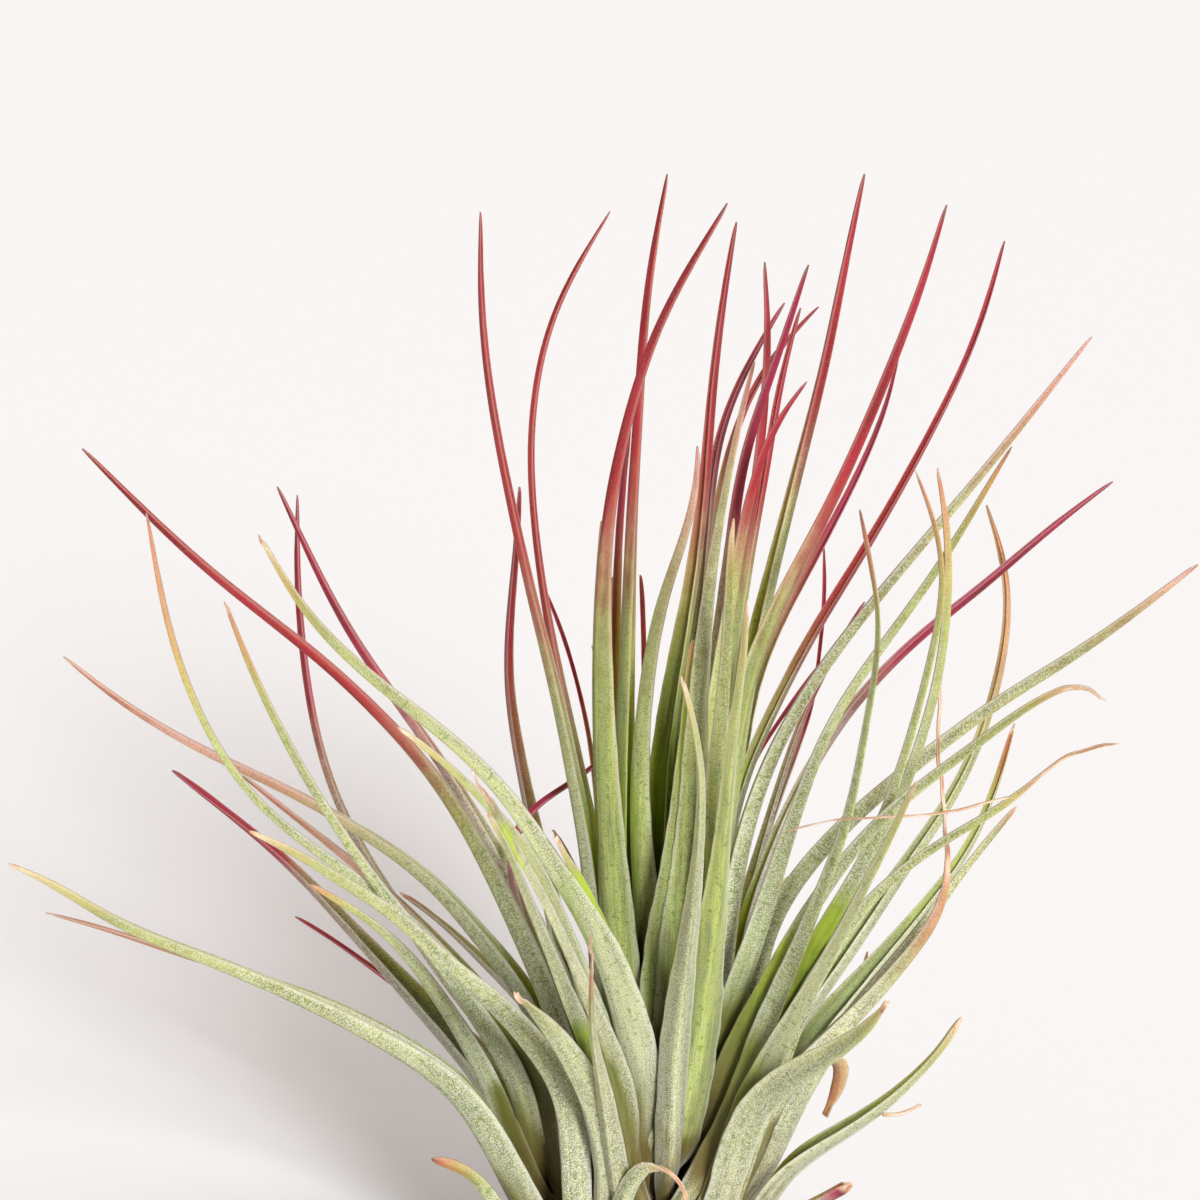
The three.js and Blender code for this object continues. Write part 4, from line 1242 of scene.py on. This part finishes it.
@dataclass
class Foot:
    """The short stem with the leaves that grow from its foot. Lengths in millimetres."""

    materials: dict[Tone, bpy.types.Material]
    bark: bpy.types.Material
    blade: Blade
    profile: tuple[tuple[float, float], ...] = (
        (0.0, 0.0), (4.3, 0.0), (4.9, 0.6), (5.2, 2.6), (5.25, 4.6), (4.9, 8.0), (4.5, 12.0), (4.3, 14.0),
        (4.2, 16.5), (3.2, 18.6), (1.6, 19.8), (0.0, 20.2),
    )
    sides: int = 48
    scar_height: float = 1.1
    scar_depth: float = 0.16
    root_radius: float = 3.4
    level_step: float = 0.3
    roughness: float = 0.06
    root_height: float = 2.6
    root_width: float = 3.0

    def build(self, node: bpy.types.Object) -> list[bpy.types.Object]:
        """Draws the stem and its leaves.

        Args:
            node: The stem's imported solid.

        Returns:
            The stem and its leaves.
        """
        sheets = []
        for seed, rings in enumerate(SolidReader(node).leaves(), start=201):
            grown = rooted(rings, self.root_radius, self.root_height, self.root_width)
            sheets.append(self.blade.draw(grown, look_at(rings.tip, FOOT_LOOKS), seed))
        for sheet in sheets:
            sheet.points[:, 2] = np.maximum(sheet.points[:, 2], 0.0)
        leaves = piece_from("fine_foot_leaves", sheets, self.materials)
        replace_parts(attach(leaves, BODY), "stem")
        stem = self._stem()
        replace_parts(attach(stem, BODY), "stem")
        log.info("%s: %d leaves; %s: %d faces", leaves.name, len(sheets), stem.name, len(stem.data.polygons))
        return [leaves, stem]

    def _stem(self) -> bpy.types.Object:
        """Turns the stem and rings it with the scars of fallen leaves.

        Returns:
            The stem.
        """
        radii, heights = np.array(self.profile).T
        level = np.unique(np.concatenate([heights, np.arange(self.level_step, heights[-1], self.level_step)]))
        radius = np.interp(level, heights[1:-1], radii[1:-1])
        radius[level > heights[-2]] *= 0.4
        angle = np.linspace(0, 2 * math.pi, self.sides, endpoint=False)
        tilt = 0.35 * np.sin(2 * angle)[None, :]
        scar = np.abs(np.sin(math.pi * (level[:, None] / self.scar_height + tilt)))
        rough = np.sin(9 * angle)[None, :] * np.sin(2.1 * level)[:, None] * self.roughness
        out = np.clip(radius[:, None] - self.scar_depth * scar**3 + rough, 0.05, None)
        out = np.where(level[:, None] > 0.05, out, radius[:, None])
        points = np.stack([out * np.cos(angle), out * np.sin(angle), level[:, None] + 0 * out], axis=-1)
        rows, turn = out.shape
        start = np.arange((rows - 1) * turn).reshape(rows - 1, turn)
        step = np.roll(start, -1, axis=1)
        faces = np.stack([start, step, step + turn, start + turn], axis=-1).reshape(-1, 4).tolist()
        caps = [list(range(turn))[::-1], list(range((rows - 1) * turn, rows * turn))]
        mesh = bpy.data.meshes.new("fine_stem")
        mesh.from_pydata((points.reshape(-1, 3) * MM).tolist(), [], faces + caps)
        mesh.materials.append(self.bark)
        layer = mesh.attributes.new("blade_place", "FLOAT_VECTOR", "POINT")
        arc = angle[None, :] * out
        place = np.stack([arc, level[:, None] + 0 * out, 0 * out], axis=-1)
        layer.data.foreach_set("vector", place.ravel())
        mesh.update()
        stem = bpy.data.objects.new("fine_stem", mesh)
        bpy.context.scene.collection.objects.link(stem)
        return stem


@dataclass(frozen=True)
class Thread:
    """A dried strip that hangs from a leaf. Lengths in millimetres.

    Attributes:
        points: The places that it runs through, from the leaf to its free end.
        width: Its width.
    """

    points: tuple[tuple[float, float, float], ...]
    width: float

    def rings(self) -> Rings:
        """Lays rings along the strip, its flat side to the front.

        Returns:
            The rings.
        """
        given = np.array(self.points) * MM
        walk = np.append(0.0, np.cumsum(np.linalg.norm(np.diff(given, axis=0), axis=1)))
        centre = natural_spline(walk, given, np.linspace(0, walk[-1], 24))
        forward = unit(np.gradient(centre, axis=0))
        outward = np.tile([0.0, -1.0, 0.0], (len(centre), 1))
        outward = unit(outward - forward * (outward * forward).sum(1, keepdims=True))
        size = np.full(len(centre), self.width * MM)
        return Rings(centre, np.cross(forward, outward), outward, size, size * 0.35)


@dataclass
class Threads:
    """The dried strips that are too thin for a solid. Lengths in millimetres."""

    materials: dict[Tone, bpy.types.Material]
    blade: Blade
    strips: tuple[Thread, ...] = (
        Thread(((38.2, -27.5, 68.1), (30.0, -29.5, 66.8), (18.5, -30.5, 66.2), (14.0, -30.0, 64.9)), 0.42),
        Thread(((25.6, -13.6, 28.0), (27.4, -14.4, 28.4), (29.8, -15.0, 29.6)), 0.8),
    )

    def build(self) -> bpy.types.Object:
        """Draws the strips.

        Returns:
            The strips.
        """
        look = Look(Tone.DRY, 30, 10, 60)
        sheets = [
            self.blade.draw(strip.rings(), look, seed) for seed, strip in enumerate(self.strips, start=301)
        ]
        piece = piece_from("dried_threads", sheets, self.materials)
        log.info("%s: %d strips, %d faces", piece.name, len(sheets), len(piece.data.polygons))
        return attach(piece, BODY)


def look_at(tip: np.ndarray, looks: Iterable[PlacedLook]) -> Look:
    """Finds the look of a leaf by its tip.

    Args:
        tip: The tip's place, in metres.
        looks: The looks to choose from.

    Returns:
        The one whose tip is nearest.
    """
    return min(looks, key=lambda placed: np.linalg.norm(np.array(placed.tip) - tip / MM)).look


@dataclass(frozen=True)
class Lamp:
    """A soft far light.

    Attributes:
        name: Its name.
        azimuth: How far right of the camera it stands, in degrees.
        height: How high it stands, in degrees.
        spread: How large it looks, in degrees.
        power: Its power.
        tint: Its colour.
    """

    name: str
    azimuth: float
    height: float
    spread: float
    power: float
    tint: tuple[float, float, float]

    def hang(self) -> bpy.types.Object:
        """Makes the light.

        Returns:
            The light.
        """
        data = bpy.data.lights.new(self.name, "SUN")
        data.energy, data.angle, data.color = self.power, math.radians(self.spread), self.tint
        lamp = bpy.data.objects.new(self.name, data)
        turn, rise = math.radians(self.azimuth), math.radians(self.height)
        toward = Vector((math.sin(turn) * math.cos(rise), -math.cos(turn) * math.cos(rise), math.sin(rise)))
        lamp.rotation_euler = toward.to_track_quat("Z", "Y").to_euler()
        bpy.context.scene.collection.objects.link(lamp)
        return lamp


@dataclass
class Studio:
    """The camera, the pale floor and the soft lights. Lengths in metres.

    Attributes:
        target: What the camera looks at.
        distance: How far away it stands.
        elevation: How steeply it looks down, in degrees.
        view_width: How much it takes in at the target.
        floor_size: The floor's side.
        floor_colour: Its colour.
        sky_colour: Colour of the surroundings.
        sky_power: Their brightness.
    """

    target: tuple[float, float, float] = (-0.0055, 0.0, 0.083)
    distance: float = 0.8
    elevation: float = 14.0
    view_width: float = 0.132
    floor_size: float = 8.0
    floor_colour: str = "ecebec"
    sky_colour: str = "fff5ef"
    sky_power: float = 0.31

    def camera(self) -> bpy.types.Object:
        """Sets the camera up where the photograph was taken from.

        Returns:
            The camera.
        """
        data = bpy.data.cameras.new("camera")
        data.sensor_width = 36.0
        data.lens = data.sensor_width * self.distance / self.view_width
        data.clip_start, data.clip_end = 0.05, 30.0
        camera = bpy.data.objects.new("camera", data)
        bpy.context.scene.collection.objects.link(camera)
        tilt = math.radians(self.elevation)
        back = Vector((0.0, -math.cos(tilt), math.sin(tilt)))
        camera.location = Vector(self.target) + back * self.distance
        camera.rotation_euler = back.to_track_quat("Z", "Y").to_euler()
        bpy.context.scene.camera = camera
        return camera

    def floor(self) -> bpy.types.Object:
        """Lays the floor.

        Returns:
            The floor.
        """
        half = self.floor_size / 2
        mesh = bpy.data.meshes.new("floor")
        corners = [(-half, -half, 0.0), (half, -half, 0.0), (half, half, 0.0), (-half, half, 0.0)]
        mesh.from_pydata(corners, [], [(0, 1, 2, 3)])
        graph = Graph("floor")
        mesh.materials.append(graph.surface(Base_Color=colour(self.floor_colour), Roughness=0.9))
        floor = bpy.data.objects.new("floor", mesh)
        bpy.context.scene.collection.objects.link(floor)
        return floor

    def lights(self) -> None:
        """Sets the low key light, the broad light from the right and the pale surroundings."""
        Lamp("key", azimuth=15.0, height=20.5, spread=11.0, power=4.75, tint=(0.95, 0.985, 1.0)).hang()
        Lamp("side", azimuth=85.0, height=50.0, spread=50.0, power=1.4, tint=(1.0, 0.93, 0.88)).hang()
        world = bpy.data.worlds.new("surroundings")
        world.use_nodes = True
        sky = world.node_tree.nodes["Background"]
        sky.inputs[0].default_value = colour(self.sky_colour)
        sky.inputs[1].default_value = self.sky_power
        bpy.context.scene.world = world
        bpy.context.scene.view_settings.view_transform = "Standard"


def main() -> None:
    """Builds the plant and its setting."""
    logging.basicConfig(level=logging.INFO, format="%(message)s")
    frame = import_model()
    studio = Studio()
    studio.camera()
    nodes = frame["nodes"]
    slots = {part["node"]: part["material_slot"] for part in frame["record"]["subparts"]}
    materials = {tone: finish.material() for tone, finish in FINISHES.items()}
    blade = Blade(ShadeOcclusion(nodes.values()))
    Foot(materials, BarkFinish().material(), blade).build(nodes["stem"])
    Heart(materials, replace(blade, fuller=1.15)).build(nodes["heart_leaves"])
    Leaves(materials, blade).build(nodes, slots)
    Threads(materials, replace(blade, keel=1.0, crumple=0.05)).build()
    studio.floor()
    studio.lights()


if __name__ == "__main__":
    main()
